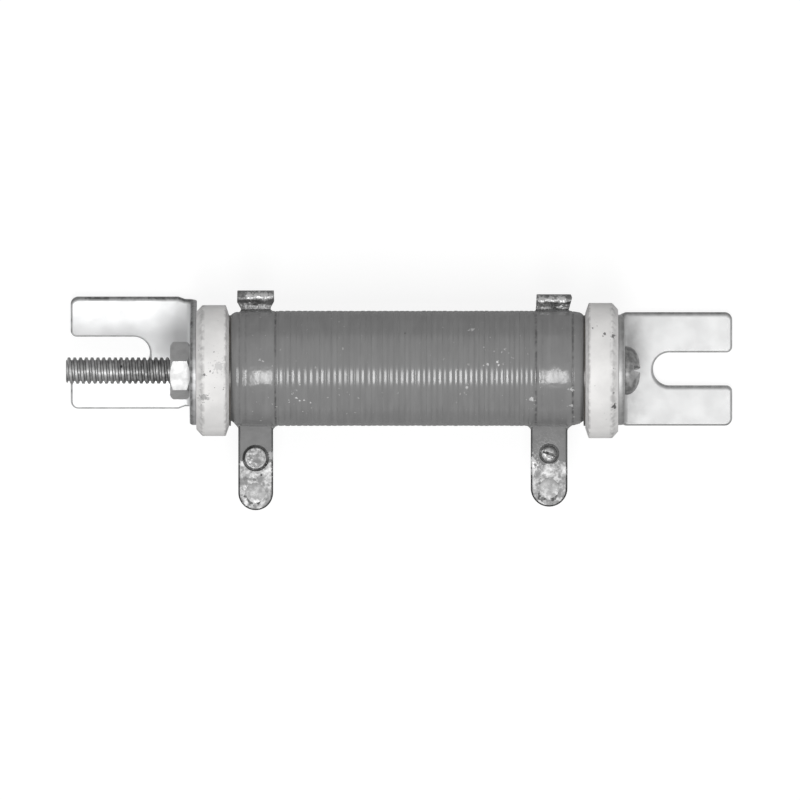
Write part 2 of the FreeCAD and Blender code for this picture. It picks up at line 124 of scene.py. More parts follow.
class Slot(Enum):
    """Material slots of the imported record."""

    CERAMIC = "white_ceramic"
    TUBE = "tube_ceramic"
    ENAMEL = "grey_enamel"
    WIRE = "resistance_wire"
    STRIP = "tinned_strip"
    SOLDER = "solder"
    RIVET = "plated_rivet"
    PLATE = "zinc_plate"
    STEEL = "steel_thread"
    MICA = "mica"


# Node writing


class Pen:
    """Adds nodes to one tree and joins their sockets."""

    def __init__(self, tree: NodeTree) -> None:
        """Keep the tree that the nodes go into."""
        self.tree = tree

    def add(self, kind: str, feeds: dict | None = None, **settings: Feed) -> Node:
        """Add a node.

        Args:
            kind: the node's type name.
            feeds: sockets or plain values by input name or number.
            settings: properties of the node itself.

        Returns:
            The new node.
        """
        node = self.tree.nodes.new(kind)
        for key, value in settings.items():
            setattr(node, key, value)
        for key, value in (feeds or {}).items():
            self.feed(node.inputs[key], value)
        return node

    def feed(self, socket: NodeSocket, value: Feed) -> None:
        """Link a socket into an input, or set the input's own value."""
        if isinstance(value, NodeSocket):
            self.tree.links.new(value, socket)
        else:
            socket.default_value = value

    def math(self, operation: str, *terms: Feed) -> NodeSocket:
        """Result of one operation on numbers."""
        feeds = dict(enumerate(terms))
        return self.add("ShaderNodeMath", feeds, operation=operation).outputs[0]

    def plus(self, *terms: Feed) -> NodeSocket:
        """Sum of two numbers."""
        return self.math("ADD", *terms)

    def minus(self, *terms: Feed) -> NodeSocket:
        """Difference of two numbers."""
        return self.math("SUBTRACT", *terms)

    def times(self, *terms: Feed) -> NodeSocket:
        """Product of two numbers."""
        return self.math("MULTIPLY", *terms)

    def vector(self, operation: str, *terms: Feed) -> NodeSocket:
        """Result of one operation on vectors."""
        feeds = dict(enumerate(terms))
        return self.add("ShaderNodeVectorMath", feeds, operation=operation).outputs[0]

    def parts(self, vector: Feed) -> Sequence[NodeSocket]:
        """X, Y and Z of a vector."""
        return self.add("ShaderNodeSeparateXYZ", {0: vector}).outputs

    def length(self, x: Feed, y: Feed) -> NodeSocket:
        """Length of a flat vector from its parts."""
        squares = [self.times(part, part) for part in (x, y)]
        return self.math("SQRT", self.plus(*squares))

    def place(self) -> NodeSocket:
        """The shaded point in Object coordinates."""
        return self.add("ShaderNodeTexCoord").outputs["Object"]

    def texture(self, place: Feed, scale: Feed, **more: Feed) -> NodeSocket:
        """Noise at a place, with its other inputs by name."""
        feeds = {"Vector": place, "Scale": scale, **more}
        return self.add("ShaderNodeTexNoise", feeds).outputs[0]

    def ramp(
        self, value: Feed, start: Feed, stop: Feed, low: Feed = 0.0, high: Feed = 1.0
    ) -> NodeSocket:
        """Value eased from low at start to high at stop, and level beyond them."""
        feeds = {"Value": value, "From Min": start, "From Max": stop, "To Min": low, "To Max": high}
        node = self.add("ShaderNodeMapRange", feeds, interpolation_type="SMOOTHSTEP")
        return node.outputs[0]

    def between(self, factor: Feed, low: Feed, high: Feed) -> NodeSocket:
        """Number between two others."""
        node = self.add("ShaderNodeMix", {0: factor, 2: low, 3: high}, data_type="FLOAT")
        return node.outputs[0]

    def tint(self, factor: Feed, low: Feed, high: Feed) -> NodeSocket:
        """Colour between two others."""
        feeds = {0: factor, 6: opaque(low), 7: opaque(high)}
        return self.add("ShaderNodeMix", feeds, data_type="RGBA").outputs[2]

    def group(self, tree: NodeTree, **feeds: Feed) -> NodeSocket:
        """Output of a shader group placed in this tree and fed by input name."""
        node = self.add("ShaderNodeGroup", node_tree=tree)
        for name, value in feeds.items():
            self.feed(node.inputs[name], value)
        return node.outputs[0]


def opaque(colour: Feed) -> Feed:
    """Colour with its alpha, or a socket as it is."""
    return (*colour, 1.0) if isinstance(colour, tuple) and len(colour) == 3 else colour


def grey(value: float, warmth: float = 0.0) -> Triple:
    """Neutral colour, a little warmer or cooler by warmth."""
    return (value * (1 + warmth), value, value * (1 - warmth))


def number(name: str, default: float) -> tuple[str, str, float]:
    """A tree's input for a plain number."""
    return (name, "NodeSocketFloat", default)


def whole(name: str, default: int) -> tuple[str, str, int]:
    """A tree's input for a whole number."""
    return (name, "NodeSocketInt", default)


def new_tree(
    name: str, inputs: Iterable[tuple], output: tuple[str, str], kind: str = "ShaderNodeTree"
) -> tuple[Pen, Sequence[NodeSocket], Node]:
    """Start a node group.

    Args:
        name: the group's name.
        inputs: name, socket type and default of each input.
        output: name and socket type of the output.
        kind: the tree's type name.

    Returns:
        The pen for the group, its input sockets by name, and its output node.
    """
    tree = bpy.data.node_groups.new(name, kind)
    for label, socket_type, default in inputs:
        socket = tree.interface.new_socket(label, in_out="INPUT", socket_type=socket_type)
        if default is not None:
            socket.default_value = default
    tree.interface.new_socket(output[0], in_out="OUTPUT", socket_type=output[1])
    pen = Pen(tree)
    entry = pen.add("NodeGroupInput")
    leave = pen.add("NodeGroupOutput")
    return pen, entry.outputs, leave


# Shader groups that several finishes share, each built once

MASK = ("Mask", "NodeSocketFloat")
RUFFLE_FREQUENCY = 3000.0
RUFFLE_WIDTH = 0.0006
LINE_BREAK_NOISE = (0.35, 0.65)
SPOT_FREQUENCY = 2200.0
SPOT_RAGGED = (4.0, -1.0)
SPOT_EDGE = (0.8, 1.05)
SPOT_FLOOR = AXIS_HEIGHT - 1.0


@cache
def mottling_tree() -> NodeTree:
    """Uneven clouding over the surface, stretched by its frequency vector.

    Returns:
        The shader group.
    """
    inputs = [
        ("Frequency", "NodeSocketVector", (200.0, 200.0, 200.0)),
        number("Spread", 0.2),
        number("Detail", 4.0),
    ]
    output = ("Factor", "NodeSocketFloat")
    pen, given, leave = new_tree("mottling", inputs, output)
    scaled = pen.vector("MULTIPLY", pen.place(), given["Frequency"])
    cloud = pen.texture(scaled, 1.0, Detail=given["Detail"])
    low = pen.minus(0.5, given["Spread"])
    high = pen.plus(0.5, given["Spread"])
    pen.feed(leave.inputs[0], pen.ramp(cloud, low, high))
    return pen.tree


@cache
def speck_tree() -> NodeTree:
    """Sparse round specks: Voronoi cells, of which a share holds one each.

    Returns:
        The shader group.
    """
    inputs = [
        number("Frequency", 800.0),
        number("Share", 0.05),
        number("Radius", 0.25),
    ]
    pen, given, leave = new_tree("specks", inputs, MASK)
    place = pen.place()
    feeds = {"Vector": place, "Scale": RUFFLE_FREQUENCY}
    ruffle = pen.add("ShaderNodeTexNoise", feeds)
    moved = pen.vector("SCALE", ruffle.outputs["Color"])
    pen.feed(moved.node.inputs["Scale"], RUFFLE_WIDTH)
    moved = pen.vector("ADD", place, moved)
    cells = pen.add("ShaderNodeTexVoronoi", {"Vector": moved, "Scale": given["Frequency"]})
    inner = pen.times(given["Radius"], 0.5)
    near = pen.ramp(cells.outputs["Distance"], inner, given["Radius"], 1.0, 0.0)
    chance = pen.parts(cells.outputs["Color"])[0]
    kept = pen.math("LESS_THAN", chance, given["Share"])
    pen.feed(leave.inputs[0], pen.times(near, kept))
    return pen.tree


@cache
def wear_and_shade_tree() -> NodeTree:
    """Broken dark line where the mesh carries its mark: painted shade on rolled rims and in the screw's
    slot, and darker seams, chamfer edges and thread crests.

    Returns:
        The shader group.
    """
    inputs = [number("Frequency", 900.0), number("Breakup", 0.4)]
    pen, given, leave = new_tree("wear_and_shade", inputs, MASK)
    mark = pen.add("ShaderNodeAttribute", attribute_name=MARK).outputs["Fac"]
    line_noise = pen.texture(pen.place(), given["Frequency"], Detail=3.0)
    loss = pen.ramp(line_noise, *LINE_BREAK_NOISE, 0.0, given["Breakup"])
    kept = pen.minus(1.0, loss)
    pen.feed(leave.inputs[0], pen.times(mark, kept))
    return pen.tree


@cache
def spot_tree() -> NodeTree:
    """One spot with a ragged edge, seen from above, on the upper side only.

    Returns:
        The shader group.
    """
    inputs = [
        ("Centre", "NodeSocketVector", (0.0, 0.0, 0.0)),
        number("Radius", 0.0003),
    ]
    pen, given, leave = new_tree("spot", inputs, MASK)
    place = pen.place()
    x, y, z = pen.parts(pen.vector("SUBTRACT", place, given["Centre"]))
    reach = pen.length(x, y)
    ragged = pen.texture(place, SPOT_FREQUENCY, Detail=3.0, Roughness=0.6)
    ragged = pen.math("MULTIPLY_ADD", ragged, *SPOT_RAGGED)
    share = pen.math("DIVIDE", pen.times(reach, ragged), given["Radius"])
    inside = pen.ramp(share, *SPOT_EDGE, 1.0, 0.0)
    above = pen.math("GREATER_THAN", z, SPOT_FLOOR * MM)
    pen.feed(leave.inputs[0], pen.times(inside, above))
    return pen.tree


@cache
def grain_tree() -> NodeTree:
    """Relief of the surface, coarse and fine, as a height in metres.

    Returns:
        The shader group.
    """
    inputs = [
        number("Coarse frequency", 500.0),
        number("Coarse height", 0.00001),
        number("Fine frequency", 4000.0),
        number("Fine height", 0.000002),
    ]
    output = ("Height", "NodeSocketFloat")
    pen, given, leave = new_tree("grain", inputs, output)
    place = pen.place()
    levels = []
    for size in ("Coarse", "Fine"):
        level = pen.texture(place, given[f"{size} frequency"], Detail=2.0)
        levels.append(pen.times(level, given[f"{size} height"]))
    pen.feed(leave.inputs[0], pen.plus(*levels))
    return pen.tree


@dataclass(frozen=True)
class Spot:
    """An irregular spot on the upper side: its place, radius, colour and strength."""

    GRIT_FREQUENCY = 1500.0
    GRIT_RADIUS = 0.4

    x: float
    y: float
    radius: float
    value: float = 0.08
    strength: float = 0.8
    shift: Pair = (0.0, 0.0)
    broken: float = 0.0

    def mask(self, pen: Pen) -> NodeSocket:
        """Mask of the spot, or of a crescent if it has a shift.

        Args:
            pen: the material's pen.

        Returns:
            The mask, already scaled by the strength.
        """
        centre = (self.x * MM, self.y * MM, 0.0)
        mask = pen.group(spot_tree(), Centre=centre, Radius=self.radius * MM)
        if self.shift != (0.0, 0.0):
            centre = ((self.x + self.shift[0]) * MM, (self.y + self.shift[1]) * MM, 0.0)
            bite = pen.group(spot_tree(), Centre=centre, Radius=self.radius * MM)
            mask = pen.times(mask, pen.minus(1.0, bite))
        if self.broken:
            feeds = {"Frequency": self.GRIT_FREQUENCY, "Radius": self.GRIT_RADIUS}
            grit = pen.group(speck_tree(), Share=self.broken, **feeds)
            mask = pen.times(mask, grit)
        return pen.times(mask, self.strength)


# Finishes


@dataclass
class Look:
    """What a finish has worked out on the way to its shader."""

    colour: Feed
    roughness: Feed
    metallic: Feed
    height: Feed


@dataclass(frozen=True)
class Finish:
    """A surface: clouded colour, roughness, specks, marks and relief."""

    name: str
    slot: Slot
    dark: Triple
    light: Triple
    metallic: float = 0.0
    smooth: float = 0.35
    rough: float = 0.5
    clouds: Triple = (250.0, 250.0, 250.0)
    spread: float = 0.2
    marked: Triple = grey(0.05)
    mark_strength: float = 0.6
    breakup: float = 0.4
    speck_colour: Triple = grey(0.04)
    speck_frequency: float = 500.0
    speck_share: float = 0.02
    speck_radius: float = 0.2
    coarse_frequency: float = 700.0
    coarse_height: float = 0.008
    fine_frequency: float = 5000.0
    fine_height: float = 0.002
    ior: float = 1.5
    spots: tuple[Spot, ...] = ()

    def material(self) -> Material:
        """The finish as a material, built at its first use."""
        made = bpy.data.materials.get(self.name)
        return made or self.build()

    def build(self) -> Material:
        """Build the node tree.

        Returns:
            The new material.
        """
        material = bpy.data.materials.new(self.name)
        material.use_nodes = True
        tree = material.node_tree
        tree.nodes.clear()
        pen = Pen(tree)
        look = self.base(pen)
        self.zones(pen, look)
        for spot in self.spots:
            look.colour = pen.tint(spot.mask(pen), look.colour, grey(spot.value))
        bump = pen.add("ShaderNodeBump", {"Height": look.height, "Strength": 1.0, "Distance": 1.0})
        feeds = {
            "Base Color": look.colour,
            "Roughness": look.roughness,
            "Metallic": look.metallic,
            "IOR": self.ior,
            "Normal": bump.outputs[0],
        }
        shader = pen.add("ShaderNodeBsdfPrincipled", feeds)
        out = pen.add("ShaderNodeOutputMaterial")
        pen.feed(out.inputs["Surface"], shader.outputs[0])
        material.diffuse_color = (*self.light, 1.0)
        return material

    def base(self, pen: Pen) -> Look:
        """Clouds, specks and marks that every finish has.

        Args:
            pen: the material's pen.

        Returns:
            The sockets for colour, roughness, metallic and height.
        """
        cloud = pen.group(mottling_tree(), Frequency=self.clouds, Spread=self.spread)
        colour = pen.tint(cloud, self.dark, self.light)
        speck = pen.group(
            speck_tree(),
            Frequency=self.speck_frequency,
            Share=self.speck_share,
            Radius=self.speck_radius,
        )
        colour = pen.tint(speck, colour, self.speck_colour)
        colour = pen.tint(self.wear_and_shade(pen), colour, self.marked)
        roughness = pen.between(cloud, self.rough, self.smooth)
        feeds = {
            "Coarse frequency": self.coarse_frequency,
            "Coarse height": self.coarse_height * MM,
            "Fine frequency": self.fine_frequency,
            "Fine height": self.fine_height * MM,
        }
        height = pen.group(grain_tree(), **feeds)
        return Look(colour, roughness, self.metallic, height)

    def wear_and_shade(self, pen: Pen) -> NodeSocket:
        """Mask of the marked lines, partly painted shade, scaled by their strength."""
        mask = pen.group(wear_and_shade_tree(), Breakup=self.breakup)
        return pen.times(mask, self.mark_strength)

    def zones(self, pen: Pen, look: Look) -> None:
        """Change the look by place. A plain finish has none."""


@dataclass(frozen=True)
class EnamelFinish(Finish):
    """Glazed enamel: streaks round the tube and pale grit in the glaze."""

    streaks: Triple = (1500.0, 45.0, 45.0)
    streak_spread: float = 0.25
    streak_depth: float = 0.12
    streak_share: float = 0.5
    grit: Triple = (0.42, 0.42, 0.41)
    grit_frequency: float = 1400.0
    grit_share: float = 0.05
    grit_radius: float = 0.3
    patches: Triple = (60.0, 60.0, 60.0)
    patch_spread: float = 0.08
    band_edge: Pair = (23.2, 24.6)
    wave_height: float = 0.09
    wave_frequency: float = 520.0

    def zones(self, pen: Pen, look: Look) -> None:
        """Darken streaks that follow the turns, scatter pale grit and ripple the bands.

        Args:
            pen: the material's pen.
            look: the look to change.
        """
        streak = pen.group(mottling_tree(), Frequency=self.streaks, Spread=self.streak_spread)
        shade = tuple(value * (1 - self.streak_depth) for value in self.dark)
        look.colour = pen.tint(pen.times(streak, self.streak_share), look.colour, shade)
        patch = pen.group(mottling_tree(), Frequency=self.patches, Spread=self.patch_spread)
        feeds = {"Frequency": self.grit_frequency, "Share": self.grit_share, "Radius": self.grit_radius}
        grit = pen.group(speck_tree(), **feeds)
        look.colour = pen.tint(pen.times(grit, patch), look.colour, self.grit)
        place = pen.place()
        away = pen.math("ABSOLUTE", pen.parts(place)[0])
        start, stop = self.band_edge
        on_band = pen.ramp(away, start * MM, stop * MM)
        wave = pen.texture(place, self.wave_frequency, Detail=2.0)
        wave = pen.times(wave, pen.times(on_band, self.wave_height * MM))
        look.height = pen.plus(look.height, wave)


@dataclass(frozen=True)
class PlateFinish(Finish):
    """Zinc plate, with painted shade on the feet next to the leg and darker all over the right bracket.
    """

    # Colour, reach and spread of the painted shade on the feet next to the leg
    leg_shade: Triple = grey(0.5)
    leg_shade_reach: Pair = (3.0, 6.5)
    leg_shade_share: Pair = (0.12, 0.8)
    leg_shade_rise: Pair = (2.0, 6.0)
    leg_shade_on_leg: float = 0.3
    leg_shade_clouds: Triple = (420.0, 420.0, 420.0)
    leg_shade_spread: float = 0.15
    # Darker colour over the whole right bracket
    right_tone: Triple = (0.5, 0.5, 0.497)
    right_tone_share: float = 0.5

    def zones(self, pen: Pen, look: Look) -> None:
        """Darken the right bracket, and paint shade on both feet near their bends.

        Args:
            pen: the material's pen.
            look: the look to change.
        """
        x, _, z = pen.parts(pen.place())
        # Painted shade next to the leg, reaching further and heavier on the right foot
        short, long = self.leg_shade_reach
        on_right = pen.math("GREATER_THAN", x, 0.0)
        reach = pen.math("MULTIPLY_ADD", on_right, (long - short) * MM, (LEG_FACE + short) * MM)
        near = pen.ramp(pen.math("ABSOLUTE", x), LEG_FACE * MM, reach, 1.0, 0.0)
        start, stop = self.leg_shade_rise
        low = pen.ramp(z, start * MM, stop * MM, 1.0, self.leg_shade_on_leg)
        near = pen.times(near, low)
        cloud = pen.group(mottling_tree(), Frequency=self.leg_shade_clouds, Spread=self.leg_shade_spread)
        # The whole right bracket is made darker
        factor = pen.times(on_right, self.right_tone_share)
        look.colour = pen.tint(factor, look.colour, self.right_tone)
        light, heavy = self.leg_shade_share
        share = pen.math("MULTIPLY_ADD", on_right, heavy - light, light)
        factor = pen.times(near, pen.times(cloud, share))
        look.colour = pen.tint(factor, look.colour, self.leg_shade)


@dataclass(frozen=True)
class SteelFinish(Finish):
    """Bright thread on a screw whose head has stayed dark."""

    head: Triple = grey(0.26)
    stain_gain: float = 1.8
    stain_clouds: Triple = (900.0, 900.0, 900.0)
    stain_spread: float = 0.15

    def zones(self, pen: Pen, look: Look) -> None:
        """Darken the end with the head.

        Args:
            pen: the material's pen.
            look: the look to change.
        """
        at_head = pen.math("GREATER_THAN", pen.parts(pen.place())[0], 0.0)
        cloud = pen.group(mottling_tree(), Frequency=self.stain_clouds, Spread=self.stain_spread)
        stain = pen.tint(cloud, self.head, tuple(value * self.stain_gain for value in self.head))
        look.colour = pen.tint(at_head, look.colour, stain)


@dataclass(frozen=True)
class StripFinish(Finish):
    """Terminal strip: enamelled at the root, soldered at the lug, bare at the ear."""

    lug_x: float = 0.0
    window_y: float = -16.0
    window_radius: float = 2.4
    window_margin: float = 0.1
    window_depth: Pair = (-0.1, 0.36)
    solder_edge: float = -16.6
    edge_width: float = 0.12
    edge_wander: float = 3.0
    edge_frequency: float = 700.0
    ear_edge: float = 10.9
    ear_width: float = 0.3
    zone_clouds: Triple = (500.0, 500.0, 500.0)
    zone_spread: float = 0.2
    enamel: Triple = grey(0.168)
    enamel_shade: Triple = grey(0.138)
    enamel_rough: float = 0.32
    enamel_height: float = 0.05
    ear: Triple = grey(0.3)
    ear_rough: float = 0.4
    ear_tarnish: float = 0.25
    # Dark colours and roughness of the painted shade inside the fastener's window
    window_shade: Triple = grey(0.045)
    ash: Triple = grey(0.2)
    window_shade_rough: float = 0.85
    crumple_frequency: float = 750.0
    crumple_height: float = 0.4

    def zones(self, pen: Pen, look: Look) -> None:
        """Lay the enamel, the bare ear and the ring of painted shade in the fastener's window over the
        solder.

        Args:
            pen: the material's pen.
            look: the look to change.
        """
        place = pen.place()
        x, y, z = pen.parts(place)
        wander = pen.texture(place, self.edge_frequency, Detail=5.0)
        wander = pen.minus(wander, 0.5)
        moved = pen.plus(y, pen.times(wander, self.edge_wander * MM))
        edge = self.solder_edge * MM
        half = self.edge_width * MM
        enamel = pen.ramp(moved, edge - half, edge + half)
        bare = pen.ramp(y, self.ear_edge * MM, (self.ear_edge + self.ear_width) * MM)
        cloud = pen.group(mottling_tree(), Frequency=self.zone_clouds, Spread=self.zone_spread)
        glaze = pen.tint(cloud, self.enamel_shade, self.enamel)
        look.colour = pen.tint(enamel, look.colour, glaze)
        look.colour = pen.tint(bare, look.colour, pen.tint(cloud, self.enamel, self.ear))
        look.colour = pen.tint(self.wear_and_shade(pen), look.colour, self.marked)
        # Painted shade where the rear ply shows through the window
        ring = self.ring(pen, x, y, z)
        look.colour = pen.tint(ring, look.colour, pen.tint(cloud, self.window_shade, self.ash))
        plain = pen.math("MAXIMUM", pen.minus(enamel, bare), ring)
        tarnish = pen.times(bare, self.ear_tarnish)
        look.metallic = pen.minus(1.0, pen.math("MAXIMUM", plain, tarnish))
        look.roughness = pen.between(plain, look.roughness, self.enamel_rough)
        look.roughness = pen.between(ring, look.roughness, self.window_shade_rough)
        look.roughness = pen.between(bare, look.roughness, self.ear_rough)
        raised = pen.times(enamel, self.enamel_height * MM)
        crumple = pen.texture(place, self.crumple_frequency, Detail=2.0)
        depth = pen.times(bare, self.crumple_height * MM)
        raised = pen.plus(raised, pen.times(crumple, depth))
        look.height = pen.plus(look.height, raised)

    def ring(self, pen: Pen, x: Feed, y: Feed, z: Feed) -> NodeSocket:
        """Mask of the rear ply inside the front ply's window, where shade is painted.

        Args:
            pen: the material's pen.
            x: place along the tube.
            y: place across the tube.
            z: height above the feet.

        Returns:
            The mask.
        """
        away_x = pen.minus(x, self.lug_x * MM)
        away_y = pen.minus(y, self.window_y * MM)
        reach = pen.length(away_x, away_y)
        low, high = self.window_depth
        inside = pen.math("LESS_THAN", reach, (self.window_radius + self.window_margin) * MM)
        deep = pen.math("LESS_THAN", z, (AXIS_HEIGHT + high) * MM)
        behind = pen.math("GREATER_THAN", z, (AXIS_HEIGHT + low) * MM)
        return pen.times(inside, pen.times(deep, behind))


ENAMEL_GLAZE = EnamelFinish(
    name="enamel_glaze",
    slot=Slot.ENAMEL,
    dark=grey(0.208),
    light=grey(0.233),
    smooth=0.18,
    rough=0.26,
    clouds=(950.0, 190.0, 190.0),
    spread=0.15,
    marked=grey(0.035),
    mark_strength=0.95,
    breakup=0.8,
    speck_colour=grey(0.06),
    speck_frequency=420.0,
    speck_share=0.004,
    speck_radius=0.12,
    coarse_height=0.004,
    fine_height=0.0006,
    ior=1.57,
    spots=(
        Spot(-19.6, -4.8, 1.5, 0.75, 0.9, broken=0.3),
        Spot(-21.6, -4.6, 1.0, 0.65, 0.8, broken=0.3), Spot(-25.6, -4.7, 0.9, 0.5, 0.6, broken=0.5),
        Spot(-26.7, 1.9, 0.8, 0.5, 0.8, broken=0.4), Spot(16.9, 2.6, 1.5, 0.8, 0.9, broken=0.38),
        Spot(14.9, 1.7, 0.8, 0.8, 0.9, broken=0.4), Spot(11.9, 7.6, 0.3, 0.5),
        Spot(10.9, -2.9, 0.28, 0.6), Spot(22.8, -5.1, 0.3, 0.75), Spot(30.0, -3.4, 0.26, 0.6),
        Spot(30.0, -6.3, 0.24, 0.55),
    ),
)
STEATITE = Finish(
    name="steatite_ceramic",
    slot=Slot.CERAMIC,
    dark=grey(0.74, 0.01),
    light=grey(0.86, 0.012),
    smooth=0.45,
    rough=0.62,
    clouds=(170.0, 170.0, 170.0),
    marked=grey(0.12),
    mark_strength=0.4,
    breakup=1.0,
    speck_colour=grey(0.09),
    speck_frequency=330.0,
    speck_share=0.06,
    speck_radius=0.16,
    coarse_height=0.012,
    fine_height=0.004,
    spots=(
        Spot(36.0, 6.9, 0.24), Spot(37.5, 6.5, 0.26), Spot(37.7, -6.3, 0.36, 0.06, 0.9),
        Spot(37.6, -3.9, 0.16, 0.2), Spot(37.6, 0.6, 0.14, 0.2), Spot(33.8, 7.9, 0.14, 0.2),
        Spot(34.6, 8.3, 0.12, 0.25), Spot(-37.0, -0.5, 0.24), Spot(-35.9, 0.1, 0.18, 0.15),
        Spot(-37.2, -4.7, 0.55, 0.3, 0.7), Spot(-36.4, -4.9, 0.4, 0.3, 0.6),
        Spot(-34.4, 0.9, 0.9, 0.45, 0.5), Spot(-33.5, -3.2, 0.16, 0.25),
        Spot(-35.2, 3.6, 0.14, 0.3),
    ),
)
TUBE_BODY = Finish(
    name="tube_ceramic_body",
    slot=Slot.TUBE,
    dark=grey(0.5, 0.02),
    light=grey(0.62, 0.02),
    smooth=0.55,
    rough=0.7,
)
WOUND_WIRE = Finish(
    name="wound_wire",
    slot=Slot.WIRE,
    dark=grey(0.22),
    light=grey(0.4),
    metallic=1.0,
    clouds=(2000.0, 60.0, 60.0),
    smooth=0.3,
    rough=0.45,
)
MICA_SHEET = Finish(
    name="mica_sheet",
    slot=Slot.MICA,
    dark=grey(0.03, 0.1),
    light=grey(0.08, 0.12),
    smooth=0.25,
    rough=0.4,
    clouds=(900.0, 200.0, 200.0),
)
ZINC_SHEET = PlateFinish(
    name="zinc_sheet",
    slot=Slot.PLATE,
    dark=grey(0.77, -0.005),
    light=grey(0.8, -0.005),
    metallic=1.0,
    smooth=0.52,
    rough=0.57,
    clouds=(260.0, 260.0, 260.0),
    # The marks along the rolled edges are painted shade
    marked=grey(0.07),
    mark_strength=0.85,
    speck_colour=grey(0.12),
    speck_frequency=150.0,
    speck_share=0.05,
    speck_radius=0.05,
    coarse_height=0.001,
    fine_height=0.0004,
)
ZINC_NUT = Finish(
    name="zinc_nut",
    slot=Slot.PLATE,
    dark=grey(0.55),
    light=grey(0.64),
    metallic=1.0,
    smooth=0.48,
    rough=0.56,
    clouds=(600.0, 600.0, 600.0),
    speck_share=0.03,
    coarse_height=0.004,
)
DARK_STEEL = SteelFinish(
    name="dark_steel",
    slot=Slot.STEEL,
    dark=grey(0.32),
    light=grey(0.5),
    metallic=1.0,
    smooth=0.46,
    rough=0.6,
    clouds=(900.0, 900.0, 900.0),
    marked=grey(0.12),
    mark_strength=0.6,
    breakup=0.5,
    speck_share=0.03,
    coarse_height=0.004,
)
SOLDER_POOL = Finish(
    name="solder_pool",
    slot=Slot.SOLDER,
    dark=grey(0.31),
    light=grey(0.34),
    metallic=1.0,
    smooth=0.42,
    rough=0.55,
    clouds=(1300.0, 1300.0, 1300.0),
    marked=grey(0.08),
    mark_strength=0.3,
    coarse_frequency=1600.0,
    coarse_height=0.012,
    spots=(
        Spot(-28.3, -23.75, 0.45, 0.5, 0.6), Spot(-27.4, -23.8, 0.35, 0.5, 0.6),
        Spot(27.2, -22.3, 0.35, 0.55, 0.6), Spot(24.6, -22.5, 0.35, 0.5, 0.6),
    ),
)
RIVET_METAL = Finish(
    name="rivet_metal",
    slot=Slot.RIVET,
    dark=grey(0.27),
    light=grey(0.4),
    metallic=1.0,
    smooth=0.5,
    rough=0.65,
    clouds=(1300.0, 1300.0, 1300.0),
    spread=0.15,
    # Marks on the rivet head's rim and the screw slot's floor are painted shade
    marked=grey(0.03),
    mark_strength=0.85,
    coarse_frequency=1300.0,
    coarse_height=0.02,
    # Pale crescents: on the rivet head rubbed bare metal with a painted highlight, on the screw head a
    # painted highlight
    spots=(
        Spot(-27.67, -15.98, 2.6, 0.7, 0.75, shift=(1.15, 0.15)),
        Spot(-27.67, -15.98, 2.6, 0.55, 0.5, shift=(-1.1, -0.3)),
        Spot(25.91, -15.15, 1.7, 0.9, 0.9, shift=(0.65, 0.45)),
    ),
)
TINNED_STRIP = StripFinish(
    name="terminal_strip",
    slot=Slot.STRIP,
    dark=grey(0.24),
    light=grey(0.35),
    metallic=1.0,
    smooth=0.4,
    rough=0.55,
    clouds=(1250.0, 1250.0, 1250.0),
    spread=0.15,
    # The marks along the lug's rolled edges are painted shade
    marked=grey(0.025),
    mark_strength=0.92,
    breakup=0.25,
    speck_colour=grey(0.06),
    speck_frequency=1100.0,
    speck_share=0.05,
    speck_radius=0.3,
    coarse_frequency=1200.0,
    coarse_height=0.012,
)


# Mesh making


@dataclass(frozen=True)
class Spindle:
    """A straight axis that pieces are turned about."""

    along: Axis
    centre: Triple

    def ring(self, place: float, radius: float, segments: int) -> list[Vector]:
        """Points of one circle.

        Args:
            place: where the circle lies along the axis.
            radius: its radius.
            segments: how many points it has.

        Returns:
            The points, in metres.
        """
        points = []
        for index in range(segments):
            angle = math.tau * index / segments
            first = radius * math.cos(angle)
            second = radius * math.sin(angle)
            if self.along is Axis.X:
                offset = Vector((place, first, second))
            else:
                offset = Vector((first, second, place))
            points.append((Vector(self.centre) + offset) * MM)
        return points


TUBE = Spindle(Axis.X, (0.0, TUBE_SHIFT, AXIS_HEIGHT))
BOLT = Spindle(Axis.X, (0.0, 0.0, AXIS_HEIGHT))


